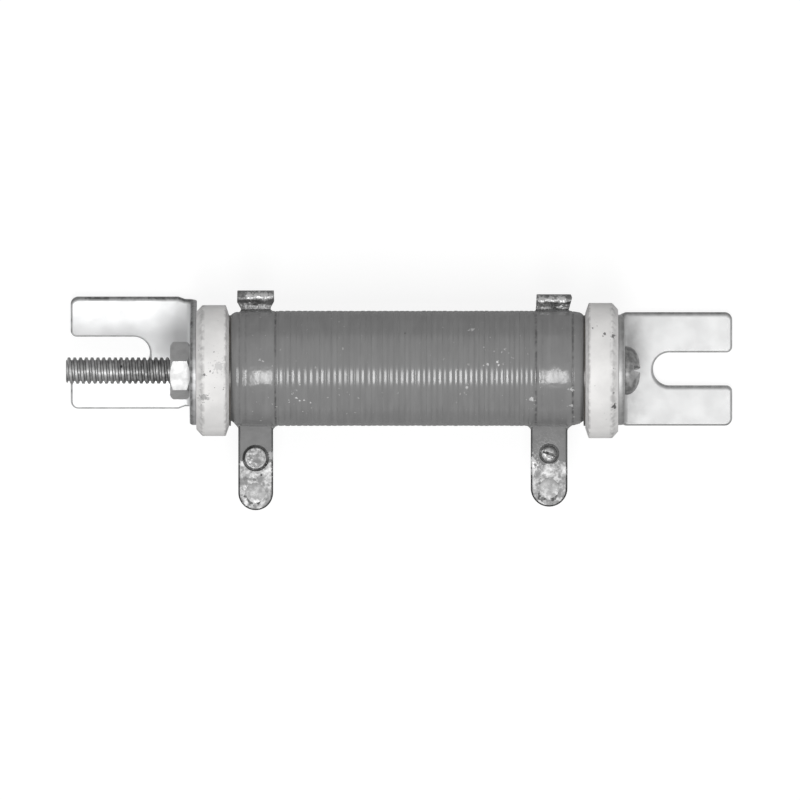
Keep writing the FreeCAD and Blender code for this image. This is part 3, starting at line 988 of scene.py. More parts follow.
class Skin:
    """Points, marks and faces gathered for one mesh."""

    def __init__(self) -> None:
        """Start with nothing."""
        self.points: list[Vector] = []
        self.marks: list[float] = []
        self.faces: list[tuple[int, ...]] = []

    def loft(
        self,
        rings: Sequence[Sequence[Vector]],
        marks: Sequence[float] | None = None,
        wrap: bool = False,
        caps: bool = True,
    ) -> None:
        """Add a skin through closed rings of equal count.

        Args:
            rings: the rings in order.
            marks: a mark for each ring.
            wrap: whether the last ring joins the first.
            caps: whether the end rings are filled.
        """
        start = len(self.points)
        size = len(rings[0])
        for index, ring in enumerate(rings):
            self.points.extend(ring)
            self.marks.extend([marks[index] if marks else 0.0] * size)
        for near in range(len(rings) if wrap else len(rings) - 1):
            low = start + near * size
            high = start + (near + 1) % len(rings) * size
            for index in range(size):
                after = (index + 1) % size
                self.faces.append((low + index, low + after, high + after, high + index))
        if caps and not wrap:
            last = start + (len(rings) - 1) * size
            self.faces.append(tuple(range(start, start + size))[::-1])
            self.faces.append(tuple(range(last, last + size)))

    def turn(
        self,
        spindle: Spindle,
        profile: Sequence[Pair],
        segments: int = 96,
        marks: Sequence[float] | None = None,
        wrap: bool = False,
    ) -> None:
        """Add a turned skin.

        Args:
            spindle: the axis that it turns about.
            profile: pairs of place and radius.
            segments: points in each ring.
            marks: a mark for each ring.
            wrap: whether the profile closes on itself.
        """
        rings = [spindle.ring(place, radius, segments) for place, radius in profile]
        self.loft(rings, marks, wrap)

    def mesh(self, name: str, weld: float = 0.002) -> Mesh:
        """Make the mesh: doubles merged, faces outward, the mark kept.

        Args:
            name: the mesh's name.
            weld: how near points are merged.

        Returns:
            The mesh.
        """
        mesh = bpy.data.meshes.new(name)
        mesh.from_pydata(self.points, [], self.faces)
        layer = mesh.attributes.new(MARK, "FLOAT", "POINT")
        layer.data.foreach_set("value", self.marks)
        tidy(mesh, weld)
        return mesh


def tidy(mesh: Mesh, weld: float) -> None:
    """Merge a mesh's doubles and turn its faces outward.

    Args:
        mesh: the mesh to change.
        weld: how near points are merged.
    """
    work = bmesh.new()
    work.from_mesh(mesh)
    bmesh.ops.remove_doubles(work, verts=work.verts, dist=weld * MM)
    bmesh.ops.recalc_face_normals(work, faces=work.faces)
    work.to_mesh(mesh)
    work.free()
    mesh.update()


def mark_where(mesh: Mesh, rule: Callable[[Vector], float]) -> None:
    """Raise a mesh's mark by a rule.

    Args:
        mesh: the mesh to change.
        rule: gives the mark for a point, in millimetres.
    """
    layer = mesh.attributes.get(MARK) or mesh.attributes.new(MARK, "FLOAT", "POINT")
    for vertex, value in zip(mesh.vertices, layer.data):
        value.value = max(value.value, rule(vertex.co / MM))


def new_object(name: str, mesh: Mesh) -> Object:
    """Object at the origin that holds the mesh."""
    made = bpy.data.objects.new(name, mesh)
    bpy.context.scene.collection.objects.link(made)
    return made


def settle(piece: Object) -> None:
    """Turn a piece and its modifiers into one plain mesh.

    Args:
        piece: the object to change.
    """
    bpy.context.view_layer.update()
    graph = bpy.context.evaluated_depsgraph_get()
    mesh = bpy.data.meshes.new_from_object(piece.evaluated_get(graph))
    piece.modifiers.clear()
    piece.data = mesh


def carve(piece: Object, cuts: Iterable[tuple[str, Skin]], edge: float) -> None:
    """Cut or cross a piece with other skins, then ease its edges.

    Args:
        piece: the object to change.
        cuts: operation and skin, in order.
        edge: width of the bevel on its sharp edges.
    """
    tools = []
    for operation, skin in cuts:
        tool = new_object("tool", skin.mesh("tool"))
        cut = piece.modifiers.new("cut", "BOOLEAN")
        cut.operation = operation
        cut.solver = "EXACT"
        cut.object = tool
        tools.append(tool)
    settle(piece)
    for tool in tools:
        bpy.data.objects.remove(tool)
    tidy(piece.data, CUT_WELD)
    bevel = piece.modifiers.new("edge", "BEVEL")
    bevel.width = edge * MM
    bevel.segments = 3
    bevel.limit_method = "ANGLE"
    bevel.angle_limit = math.radians(EASED_ANGLE)
    settle(piece)


def hand_over(piece: Object, finish: Finish, node: str, sharp: float = 40.0) -> None:
    """Shade and dress a piece, and let it stand for a node.

    Args:
        piece: the finished object.
        finish: its finish.
        node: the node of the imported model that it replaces.
        sharp: angle in degrees past which an edge stays sharp.
    """
    mesh = piece.data
    mesh.polygons.foreach_set("use_smooth", [True] * len(mesh.polygons))
    mesh.set_sharp_from_angle(angle=math.radians(sharp))
    mesh.materials.clear()
    mesh.materials.append(finish.material())
    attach(piece, BODY)
    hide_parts(node)
    log.info("%s: %d faces", piece.name, len(mesh.polygons))


def rounded(corners: Sequence[Triple], closed: bool = False, steps: int = 6) -> list[Pair]:
    """Round the corners of a line or outline.

    Args:
        corners: place, place and radius of each corner.
        closed: whether the last corner joins the first.
        steps: arc steps at each rounded corner.

    Returns:
        The points of the rounded line.
    """
    points: list[Pair] = []
    count = len(corners)
    for index, (across, up, radius) in enumerate(corners):
        here = Vector((across, up))
        if radius <= 0 or (not closed and index in (0, count - 1)):
            points.append((across, up))
            continue
        back = (Vector(corners[index - 1][:2]) - here).normalized()
        ahead = (Vector(corners[(index + 1) % count][:2]) - here).normalized()
        half = back.angle(ahead) / 2
        middle = here + (back + ahead).normalized() * (radius / math.sin(half))
        first = here + back * (radius / math.tan(half)) - middle
        last = here + ahead * (radius / math.tan(half)) - middle
        sweep = first.angle(last)
        for step in range(steps + 1):
            share = step / steps
            start = math.sin((1 - share) * sweep) / math.sin(sweep)
            stop = math.sin(share * sweep) / math.sin(sweep)
            point = middle + first * start + last * stop
            points.append((point.x, point.y))
    kept = [points[0]]
    for point in points[1:]:
        if math.dist(point, kept[-1]) > CLOSE:
            kept.append(point)
    if closed and math.dist(kept[0], kept[-1]) < CLOSE:
        kept.pop()
    return kept


def rectangle(x: Pair, y: Pair, radii: Pair, steps: int) -> list[Pair]:
    """Rectangle with rounded corners.

    Args:
        x: its left and right side.
        y: its low and high side.
        radii: radius of its low and of its high corners.
        steps: arc steps at each corner.

    Returns:
        The points, anticlockwise.
    """
    (left, right), (low, high), (under, over) = x, y, radii
    corners = [(left, low, under), (right, low, under), (right, high, over), (left, high, over)]
    return rounded(corners, closed=True, steps=steps)


def inset(loop: Sequence[Pair], distance: float, narrow: float = 1.0) -> list[Pair]:
    """Move a loop to its left side.

    Args:
        loop: the points of the loop.
        distance: how far it moves.
        narrow: share of the distance where an edge faces away from +Y.

    Returns:
        The points of the moved loop.
    """
    moved = []
    count = len(loop)
    for index, point in enumerate(loop):
        here = Vector(point)
        back = (here - Vector(loop[index - 1])).normalized()
        ahead = (Vector(loop[(index + 1) % count]) - here).normalized()
        tangent = (back + ahead).normalized()
        stretch = 1 / max(0.5, tangent.dot(ahead))
        share = narrow + (1 - narrow) * max(0.0, -tangent.x)
        side = Vector((-tangent.y, tangent.x)) * distance * stretch * share
        moved.append((here.x + side.x, here.y + side.y))
    return moved


def circle(x: float, y: float, radius: float, steps: int = 48) -> list[Pair]:
    """Clockwise circle, as a hole in an outline."""
    angles = [-math.tau * step / steps for step in range(steps)]
    return [(x + radius * math.cos(angle), y + radius * math.sin(angle)) for angle in angles]


Placer = Callable[[float, float, float], Vector]


def add_plate(
    skin: Skin,
    outline: Sequence[Pair],
    holes: Sequence[Sequence[Pair]],
    levels: Sequence[Triple],
    placer: Placer,
    narrow: float = 1.0,
    crisp: float = 1.0,
) -> None:
    """Add a stamped plate with eased edges.

    Args:
        skin: the skin to add to.
        outline: the outer loop, anticlockwise.
        holes: the inner loops, clockwise.
        levels: inset, height and mark of each ring, from the rear face.
        placer: puts a point of the flat plate in place.
        narrow: share of the inset where an edge faces away from +Y.
        crisp: share of the inset and mark round the holes.
    """
    loops = [outline, *holes]
    shares = [1.0] + [crisp] * len(holes)
    fronts: list[list[int]] = []
    rears: list[list[int]] = []
    for loop, share in zip(loops, shares):
        start = len(skin.points)
        rings = []
        for distance, height, _ in levels:
            moved = inset(loop, distance * share, narrow)
            rings.append([placer(x, y, height) for x, y in moved])
        skin.loft(rings, [mark * share for _, _, mark in levels], caps=False)
        size = len(loop)
        rears.append(list(range(start, start + size)))
        last = start + (len(levels) - 1) * size
        fronts.append(list(range(last, last + size)))
    flat = []
    for loop, share in zip(loops, shares):
        flat.append([Vector((x, y, 0.0)) for x, y in inset(loop, levels[-1][0] * share, narrow)])
    ahead = [index for loop in fronts for index in loop]
    behind = [index for loop in rears for index in loop]
    for a, b, c in geometry.tessellate_polygon(flat):
        skin.faces.append((ahead[a], ahead[b], ahead[c]))
        skin.faces.append((behind[a], behind[c], behind[b]))


def edge_levels(thickness: float, front: Pair, rear: float, steps: int = 6) -> list[Triple]:
    """Rings of a sheared edge, rolled over at the front and crisper at the rear.

    Args:
        thickness: the sheet's thickness.
        front: width and depth of the front face's roll.
        rear: radius of the rear face's edge.
        steps: arc steps of the roll.

    Returns:
        Inset, height and mark of each ring, from the rear face.
    """
    half = thickness / 2
    width, depth = front
    # Each ring's mark paints a line of shade along the edge
    levels = [(rear * 2.0, -half, 0.0)]
    for step in range(steps // 2 + 1):
        angle = math.pi / 2 * step / (steps // 2)
        inward, up = 1 - math.sin(angle), 1 - math.cos(angle)
        levels.append((rear * inward, rear * up - half, 0.4))
    for step in range(steps + 1):
        angle = math.pi / 2 * step / steps
        mark = min(1.0, 0.5 + 2.0 * step / steps, 2.0 - 2.0 * step / steps)
        inward, down = 1 - math.cos(angle), 1 - math.sin(angle)
        levels.append((width * inward, half - depth * down, mark))
    levels.append((width * 1.25, half, 0.0))
    return levels


# Geometry node trees

GEOMETRY = ("Geometry", "NodeSocketGeometry")


def end_tree(pen: Pen, shape: Feed, material: Feed, leave: Node) -> None:
    """Close a geometry tree with plain geometry and its material.

    Args:
        pen: the tree's pen.
        shape: the socket with the geometry.
        material: the socket with the material.
        leave: the tree's output node.
    """
    plain = pen.add("GeometryNodeRealizeInstances", {0: shape})
    dressed = pen.add("GeometryNodeSetMaterial", {"Geometry": plain.outputs[0], "Material": material})
    pen.feed(leave.inputs[0], dressed.outputs[0])


def round_axis(pen: Pen, x: Feed, radius: Feed, turn: Feed, centre: Feed) -> NodeSocket:
    """Point about an axis along X.

    Args:
        pen: the tree's pen.
        x: place along the axis.
        radius: distance from the axis.
        turn: share of a turn about it.
        centre: a point of the axis.

    Returns:
        The point.
    """
    angle = pen.times(turn, math.tau)
    first = pen.times(radius, pen.math("COSINE", angle))
    second = pen.times(radius, pen.math("SINE", angle))
    point = pen.add("ShaderNodeCombineXYZ", {0: x, 1: first, 2: second}).outputs[0]
    return pen.vector("ADD", point, centre)


def grid_shares(pen: Pen, rows: Feed, columns: Feed) -> tuple[NodeSocket, ...]:
    """Unit grid.

    Args:
        pen: the tree's pen.
        rows: points along the first side.
        columns: points along the second side.

    Returns:
        The grid, and the share of each point along both sides.
    """
    feeds = {"Size X": 1.0, "Size Y": 1.0, "Vertices X": rows, "Vertices Y": columns}
    grid = pen.add("GeometryNodeMeshGrid", feeds).outputs[0]
    x, y, _ = pen.parts(pen.add("GeometryNodeInputPosition").outputs[0])
    return grid, pen.plus(x, 0.5), pen.plus(y, 0.5)


def ridge_tree() -> NodeTree:
    """Enamel over a close winding: one rounded ridge for each turn.

    Returns:
        The geometry tree.
    """
    inputs = [
        ("Ends", "NodeSocketGeometry", None),
        whole("Turns", 47),
        whole("Rows per turn", 10),
        whole("Segments", 144),
        number("Start", -0.0235),
        number("First pitch", 0.0011),
        number("Pitch loss", 0.000004),
        number("Valley radius", 0.01043),
        number("Ridge depth", 0.00012),
        number("Crest power", 3.5),
        number("Lean", 0.3),
        number("Unevenness", 0.00008),
        number("Drift frequency", 0.7),
        number("End fade", 30.0),
        number("Least size", 0.55),
        number("Most size", 1.1),
        whole("Seed", 3),
        whole("Lean seed step", 7),
        ("Centre", "NodeSocketVector", (0.0, 0.0, 0.0)),
        ("Material", "NodeSocketMaterial", None),
    ]
    pen, given, leave = new_tree("wound_ridges", inputs, GEOMETRY, "GeometryNodeTree")
    rows = pen.times(given["Turns"], given["Rows per turn"])
    rows = pen.plus(rows, 1.0)
    columns = pen.plus(given["Segments"], 1.0)
    grid, along, around = grid_shares(pen, rows, columns)
    raw = pen.times(along, given["Turns"])
    place = pen.plus(raw, NUDGE)
    turn = pen.math("FLOOR", place)
    part = pen.math("FRACT", place)
    loss = pen.times(pen.times(raw, raw), given["Pitch loss"])
    x = pen.times(raw, given["First pitch"])
    x = pen.minus(pen.plus(x, given["Start"]), pen.times(loss, 0.5))
    feeds = {"W": raw, "Scale": given["Drift frequency"], "Detail": 1.0}
    drift = pen.add("ShaderNodeTexNoise", feeds, noise_dimensions="1D").outputs[0]
    drift = pen.times(pen.minus(drift, 0.5), given["Unevenness"])
    away = pen.math("MINIMUM", along, pen.minus(1.0, along))
    inward = pen.math("MINIMUM", 1.0, pen.times(away, given["End fade"]))
    x = pen.plus(x, pen.times(drift, inward))
    feeds = {2: given["Least size"], 3: given["Most size"], "ID": turn, "Seed": given["Seed"]}
    size = pen.add("FunctionNodeRandomValue", feeds, data_type="FLOAT").outputs[1]
    across = pen.minus(pen.times(part, 2.0), 1.0)
    seed = pen.plus(given["Seed"], given["Lean seed step"])
    feeds = {2: -1.0, 3: 1.0, "ID": turn, "Seed": seed}
    lean = pen.add("FunctionNodeRandomValue", feeds, data_type="FLOAT").outputs[1]
    lean = pen.times(lean, given["Lean"])
    bow = pen.minus(1.0, pen.times(across, across))
    across = pen.math("ABSOLUTE", pen.math("MULTIPLY_ADD", bow, lean, across))
    arch = pen.minus(1.0, pen.math("POWER", across, given["Crest power"]))
    height = pen.times(pen.times(arch, size), given["Ridge depth"])
    radius = pen.plus(given["Valley radius"], height)
    point = round_axis(pen, x, radius, around, given["Centre"])
    shaped = pen.add("GeometryNodeSetPosition", {"Geometry": grid, "Position": point})
    joined = pen.add("GeometryNodeJoinGeometry")
    pen.feed(joined.inputs[0], shaped.outputs[0])
    pen.feed(joined.inputs[0], given["Ends"])
    feeds = {"Geometry": joined.outputs[0], "Distance": WELD * MM}
    welded = pen.add("GeometryNodeMergeByDistance", feeds)
    end_tree(pen, welded.outputs[0], given["Material"], leave)
    return pen.tree


def thread_tree() -> NodeTree:
    """Rolled screw thread, with its rows along the helix.

    Returns:
        The geometry tree.
    """
    inputs = [
        ("Shank", "NodeSocketGeometry", None),
        number("Pitch", 0.001058),
        whole("Turns", 25),
        whole("Rows per turn", 16),
        whole("Segments", 48),
        number("Radius", 0.0024),
        number("Depth", 0.0006),
        number("Flank start", 0.42),
        number("Flank end", 0.74),
        number("Turns before tip", 2.0),
        number("Tip", -0.0623),
        number("End", -0.0397),
        number("Chamfer", 0.00035),
        ("Centre", "NodeSocketVector", (0.0, 0.0, 0.0)),
        ("Material", "NodeSocketMaterial", None),
    ]
    pen, given, leave = new_tree("rolled_thread", inputs, GEOMETRY, "GeometryNodeTree")
    rows = pen.times(given["Turns"], given["Rows per turn"])
    rows = pen.plus(rows, 1.0)
    columns = pen.plus(given["Segments"], 1.0)
    grid, along, around = grid_shares(pen, rows, columns)
    turns = pen.times(along, given["Turns"])
    part = pen.math("FRACT", pen.plus(turns, NUDGE))
    away = pen.math("ABSOLUTE", pen.minus(pen.times(part, 2.0), 1.0))
    feeds = {"Value": away, "From Min": given["Flank start"], "From Max": given["Flank end"]}
    root = pen.add("ShaderNodeMapRange", feeds).outputs[0]
    place = pen.minus(pen.plus(turns, around), given["Turns before tip"])
    x = pen.plus(given["Tip"], pen.times(place, given["Pitch"]))
    radius = pen.minus(given["Radius"], pen.times(root, given["Depth"]))
    past = pen.math("MAXIMUM", pen.minus(x, given["Tip"]), 0.0)
    point = pen.plus(pen.minus(given["Radius"], given["Chamfer"]), past)
    radius = pen.math("MINIMUM", radius, point)
    lead = pen.math("DIVIDE", pen.minus(x, given["Tip"]), given["Pitch"])
    tail = pen.math("DIVIDE", pen.minus(given["End"], x), given["Pitch"])
    inside = pen.plus(pen.math("MINIMUM", lead, tail), 1.0)
    inside = pen.math("MAXIMUM", pen.math("MINIMUM", inside, 1.0), 0.0)
    radius = pen.times(radius, inside)
    x = pen.math("MINIMUM", pen.math("MAXIMUM", x, given["Tip"]), given["End"])
    position = round_axis(pen, x, radius, around, given["Centre"])
    shaped = pen.add("GeometryNodeSetPosition", {"Geometry": grid, "Position": position})
    crest = pen.minus(1.0, root)
    feeds = {"Geometry": shaped.outputs[0], "Name": MARK, "Value": crest}
    marked = pen.add("GeometryNodeStoreNamedAttribute", feeds, data_type="FLOAT", domain="POINT")
    feeds = {"Geometry": marked.outputs[0], "Distance": WELD * MM}
    welded = pen.add("GeometryNodeMergeByDistance", feeds)
    joined = pen.add("GeometryNodeJoinGeometry")
    pen.feed(joined.inputs[0], welded.outputs[0])
    pen.feed(joined.inputs[0], given["Shank"])
    end_tree(pen, joined.outputs[0], given["Material"], leave)
    return pen.tree


def grow(piece: Object, tree: NodeTree, values: dict[str, Feed]) -> None:
    """Run a geometry tree on a piece and keep its result.

    Args:
        piece: the object that carries the modifier.
        tree: the geometry tree.
        values: the tree's inputs by name.
    """
    names = {
        item.name: item.identifier
        for item in tree.interface.items_tree
        if item.item_type == "SOCKET" and item.in_out == "INPUT"
    }
    modifier = piece.modifiers.new("grow", "NODES")
    modifier.node_group = tree
    for name, value in values.items():
        modifier[names[name]] = value
    settle(piece)


# The tube


@dataclass
class EnamelledTube:
    """Ceramic tube, its winding, and the enamel over both."""

    turns: int = 47
    first_crest: float = -22.98
    first_pitch: float = 1.098
    pitch_loss: float = 0.00447
    valley_radius: float = 10.43
    ridge_depth: float = 0.1
    crest_power: float = 3.8
    lean: float = 0.3
    unevenness: float = 0.12
    seed: int = 5
    rows_per_turn: int = 10
    segments: int = 144
    bore: float = 9.53
    lug_fillet: float = 1.15
    ear_fillet: float = 0.55
    face_fillet: float = 0.22
    root_half: float = 0.45
    root_corner: float = 0.2
    root_step: float = 0.3
    root_wave: float = 0.25
    end_run: Pair = (0.3, 0.25)
    run_length: float = 2.0
    run_from: float = 9.75
    ripple_from: float = 10.2
    ripple_frequency: Pair = (260.0, 420.0)
    ripple_depth: Pair = (0.012, 0.005)
    lip: tuple[Pair, ...] = (
        (-0.02, 9.53), (0.0, 9.66), (0.06, 9.8), (0.25, 9.96), (0.5, 10.12), (0.75, 10.24),
    )
    left_end: tuple[Triple, ...] = (
        (-31.24, 10.3, 0.0), (-31.05, 10.31, 0.0), (-30.85, 10.29, 0.0), (-30.65, 10.27, 0.4),
        (-30.35, 10.42, 0.0), (-30.05, 10.49, 0.0), (-29.8, 10.48, 0.0), (-29.5, 10.42, 0.3),
        (-29.15, 10.48, 0.0), (-28.4, 10.52, 0.0), (-27.2, 10.54, 0.0), (-25.8, 10.54, 0.0),
        (-24.8, 10.52, 0.0), (-24.35, 10.49, 0.0), (-24.2, 10.46, 0.5), (-24.12, 10.41, 1.0),
        (-23.98, 10.41, 1.0), (-23.9, 10.46, 0.5), (-23.75, 10.48, 0.0),
    )
    right_end: tuple[Triple, ...] = (
        (30.9, 10.32, 0.0), (30.5, 10.4, 0.0), (30.36, 10.42, 0.5), (30.27, 10.38, 1.0),
        (30.14, 10.38, 1.0), (30.04, 10.47, 0.4), (29.85, 10.51, 0.0), (29.0, 10.54, 0.0),
        (27.6, 10.55, 0.0), (26.2, 10.54, 0.0), (25.0, 10.51, 0.0), (24.6, 10.48, 0.2),
        (24.3, 10.52, 0.0), (24.08, 10.54, 0.0), (23.85, 10.51, 0.0), (23.65, 10.46, 0.4),
        (23.52, 10.4, 1.0),
    )

    def place(self, turn: float) -> float:
        """Where a turn's boundary lies along the tube."""
        start = self.first_crest - self.first_pitch / 2
        return start + self.first_pitch * turn - self.pitch_loss * turn * turn / 2

    def end_profile(self, side: Side) -> tuple[list[Pair], list[float]]:
        """Profile of one end, from the bore to the winding.

        Args:
            side: which end.

        Returns:
            Pairs of place and radius, and a mark for each.
        """
        inner = self.place(0 if side is Side.LEFT else self.turns)
        points = [(inner, self.bore, 0.0)]
        points += [(side.value * (CORE_END - step), radius, 0.0) for step, radius in self.lip]
        points += self.left_end if side is Side.LEFT else self.right_end
        points.append((inner, self.valley_radius, 0.2))
        return [point[:2] for point in points], [point[2] for point in points]

    def outside(self, side: Side) -> list[Pair]:
        """Outer radius of one end along the tube, from low X to high X."""
        profile, _ = self.end_profile(side)
        return sorted(point for point in profile if point[1] > 9.6)

    def add_meniscus(self, skin: Skin, span: Pair, outward: int, reach: float) -> None:
        """Add the glaze that climbs a strip where it leaves the coat.

        Args:
            skin: the skin to add to.
            span: both edges of the strip along the tube.
            outward: sign of Y on the strip's side of the tube.
            reach: how far the glaze climbs and spreads.
        """
        half, corner = self.root_half, self.root_corner
        loop = rectangle(span, (-half, half), (corner, corner), 6)
        dense = []
        for index, point in enumerate(loop):
            after = loop[(index + 1) % len(loop)]
            pieces = max(1, round(math.dist(point, after) / self.root_step))
            for step in range(pieces):
                share = step / pieces
                dense.append(tuple(point[k] + (after[k] - point[k]) * share for k in (0, 1)))
        over = 0.06
        steps = 8
        section = [(-0.2, 1.0), (-over, 1.0)]
        for step in range(1, steps + 1):
            angle = math.pi / 2 * step / steps
            section.append(((1 + over) * (1 - math.cos(angle)) - over, 1 - math.sin(angle)))
        section += [(1.0, -0.5), (-0.2, -0.5)]
        table = self.outside(Side.LEFT if span[0] < 0 else Side.RIGHT)
        rings = []
        for away, up in section:
            ring = []
            for base, edge in zip(dense, inset(dense, -1.0)):
                side = abs(edge[0] - base[0])
                grip = reach * (self.face_fillet + (1 - self.face_fillet) * side * side)
                x = base[0] + (edge[0] - base[0]) * away * grip
                z = base[1] + (edge[1] - base[1]) * away * grip
                drift = noise.noise(Vector((x * 0.9, z * 2.0, 3.0 * outward)))
                wave = 1 + self.root_wave * drift
                surface = math.sqrt(interpolate(table, x) ** 2 - z * z) - 0.02
                lift = up * grip * wave if up > 0 else up * 0.5
                ring.append(Vector((x, TUBE_SHIFT + outward * (surface + lift), AXIS_HEIGHT + z)) * MM)
            rings.append(ring)
        skin.loft(rings, wrap=True)

    def build(self, strips: Iterable["Terminal"]) -> None:
        """Build the coat and dress the tube and the winding under it.

        Args:
            strips: the terminals that pass through the coat.
        """
        skin = Skin()
        for side in Side:
            profile, marks = self.end_profile(side)
            rings = [TUBE.ring(place, radius, self.segments) for place, radius in profile]
            skin.loft(rings, marks, caps=False)
        bore = [(self.place(0), self.bore), (self.place(self.turns), self.bore)]
        rings = [TUBE.ring(place, radius, self.segments) for place, radius in bore]
        skin.loft(rings, caps=False)
        mesh = skin.mesh("enamel_coat_glazed")
        piece = new_object("enamel_coat_glazed", mesh)
        values = {
            "Turns": self.turns,
            "Rows per turn": self.rows_per_turn,
            "Segments": self.segments,
            "Start": self.place(0) * MM,
            "First pitch": self.first_pitch * MM,
            "Pitch loss": self.pitch_loss * MM,
            "Valley radius": self.valley_radius * MM,
            "Ridge depth": self.ridge_depth * MM,
            "Crest power": self.crest_power,
            "Lean": self.lean,
            "Unevenness": self.unevenness * MM,
            "Seed": self.seed,
            "Centre": (0.0, TUBE_SHIFT * MM, AXIS_HEIGHT * MM),
            "Material": ENAMEL_GLAZE.material(),
        }
        grow(piece, ridge_tree(), values)
        tidy(piece.data, WELD)
        for vertex in piece.data.vertices:
            self.ripple(vertex)
        roots = Skin()
        for strip in strips:
            self.add_meniscus(roots, strip.lug_span, -1, self.lug_fillet)
            self.add_meniscus(roots, strip.ear_root, 1, self.ear_fillet)
        join_mesh(piece, roots.mesh("roots"))
        for vertex in piece.data.vertices:
            self.run(vertex)
        hand_over(piece, ENAMEL_GLAZE, "enamel_coat")
        dress_node("ceramic_core", TUBE_BODY)
        dress_node("resistance_winding", WOUND_WIRE)

    def run(self, vertex: MeshVertex) -> None:
        """Thin the glaze at both ends on the lugs' side.

        Args:
            vertex: a point of the coat.
        """
        centre = Vector((vertex.co.x, TUBE_SHIFT * MM, AXIS_HEIGHT * MM))
        out = vertex.co - centre
        near = abs(vertex.co.x) / MM - (CORE_END - self.run_length)
        if near <= 0 or out.length < self.run_from * MM:
            return
        drop = self.end_run[0 if vertex.co.x < 0 else 1] * (near / self.run_length) ** 1.5
        drop *= max(0.0, -out.y / out.length) ** 2
        low = min(out.length, (CORE_RADIUS + 0.1) * MM)
        vertex.co = centre + out.normalized() * max(low, out.length - drop * MM)

    def ripple(self, vertex: MeshVertex) -> None:
        """Let the glaze run a little unevenly round the tube.

        Args:
            vertex: a point of the coat.
        """
        centre = Vector((vertex.co.x, TUBE_SHIFT * MM, AXIS_HEIGHT * MM))
        out = vertex.co - centre
        if out.length < self.ripple_from * MM:
            return
        along, round_it = self.ripple_frequency
        slow, quick = self.ripple_depth
        place = Vector((vertex.co.x * along, vertex.co.y * round_it, vertex.co.z * round_it))
        swell = noise.noise(place) * slow + noise.noise(place * 3.1) * quick
        vertex.co = centre + out * (1 + min(swell, 0.0) / 10.5)


def join_mesh(piece: Object, mesh: Mesh) -> None:
    """Add a mesh to a piece's own mesh.

    Args:
        piece: the object to change.
        mesh: the mesh to add, which is then removed.
    """
    work = bmesh.new()
    work.from_mesh(piece.data)
    work.from_mesh(mesh)
    work.to_mesh(piece.data)
    work.free()
    bpy.data.meshes.remove(mesh)


def dress_node(name: str, finish: Finish) -> None:
    """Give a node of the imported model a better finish.

    Args:
        name: the node's name.
        finish: its finish.
    """
    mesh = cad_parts[name].data
    mesh.materials.clear()
    mesh.materials.append(finish.material())
    log.info("%s: kept, new finish", name)


# Terminals


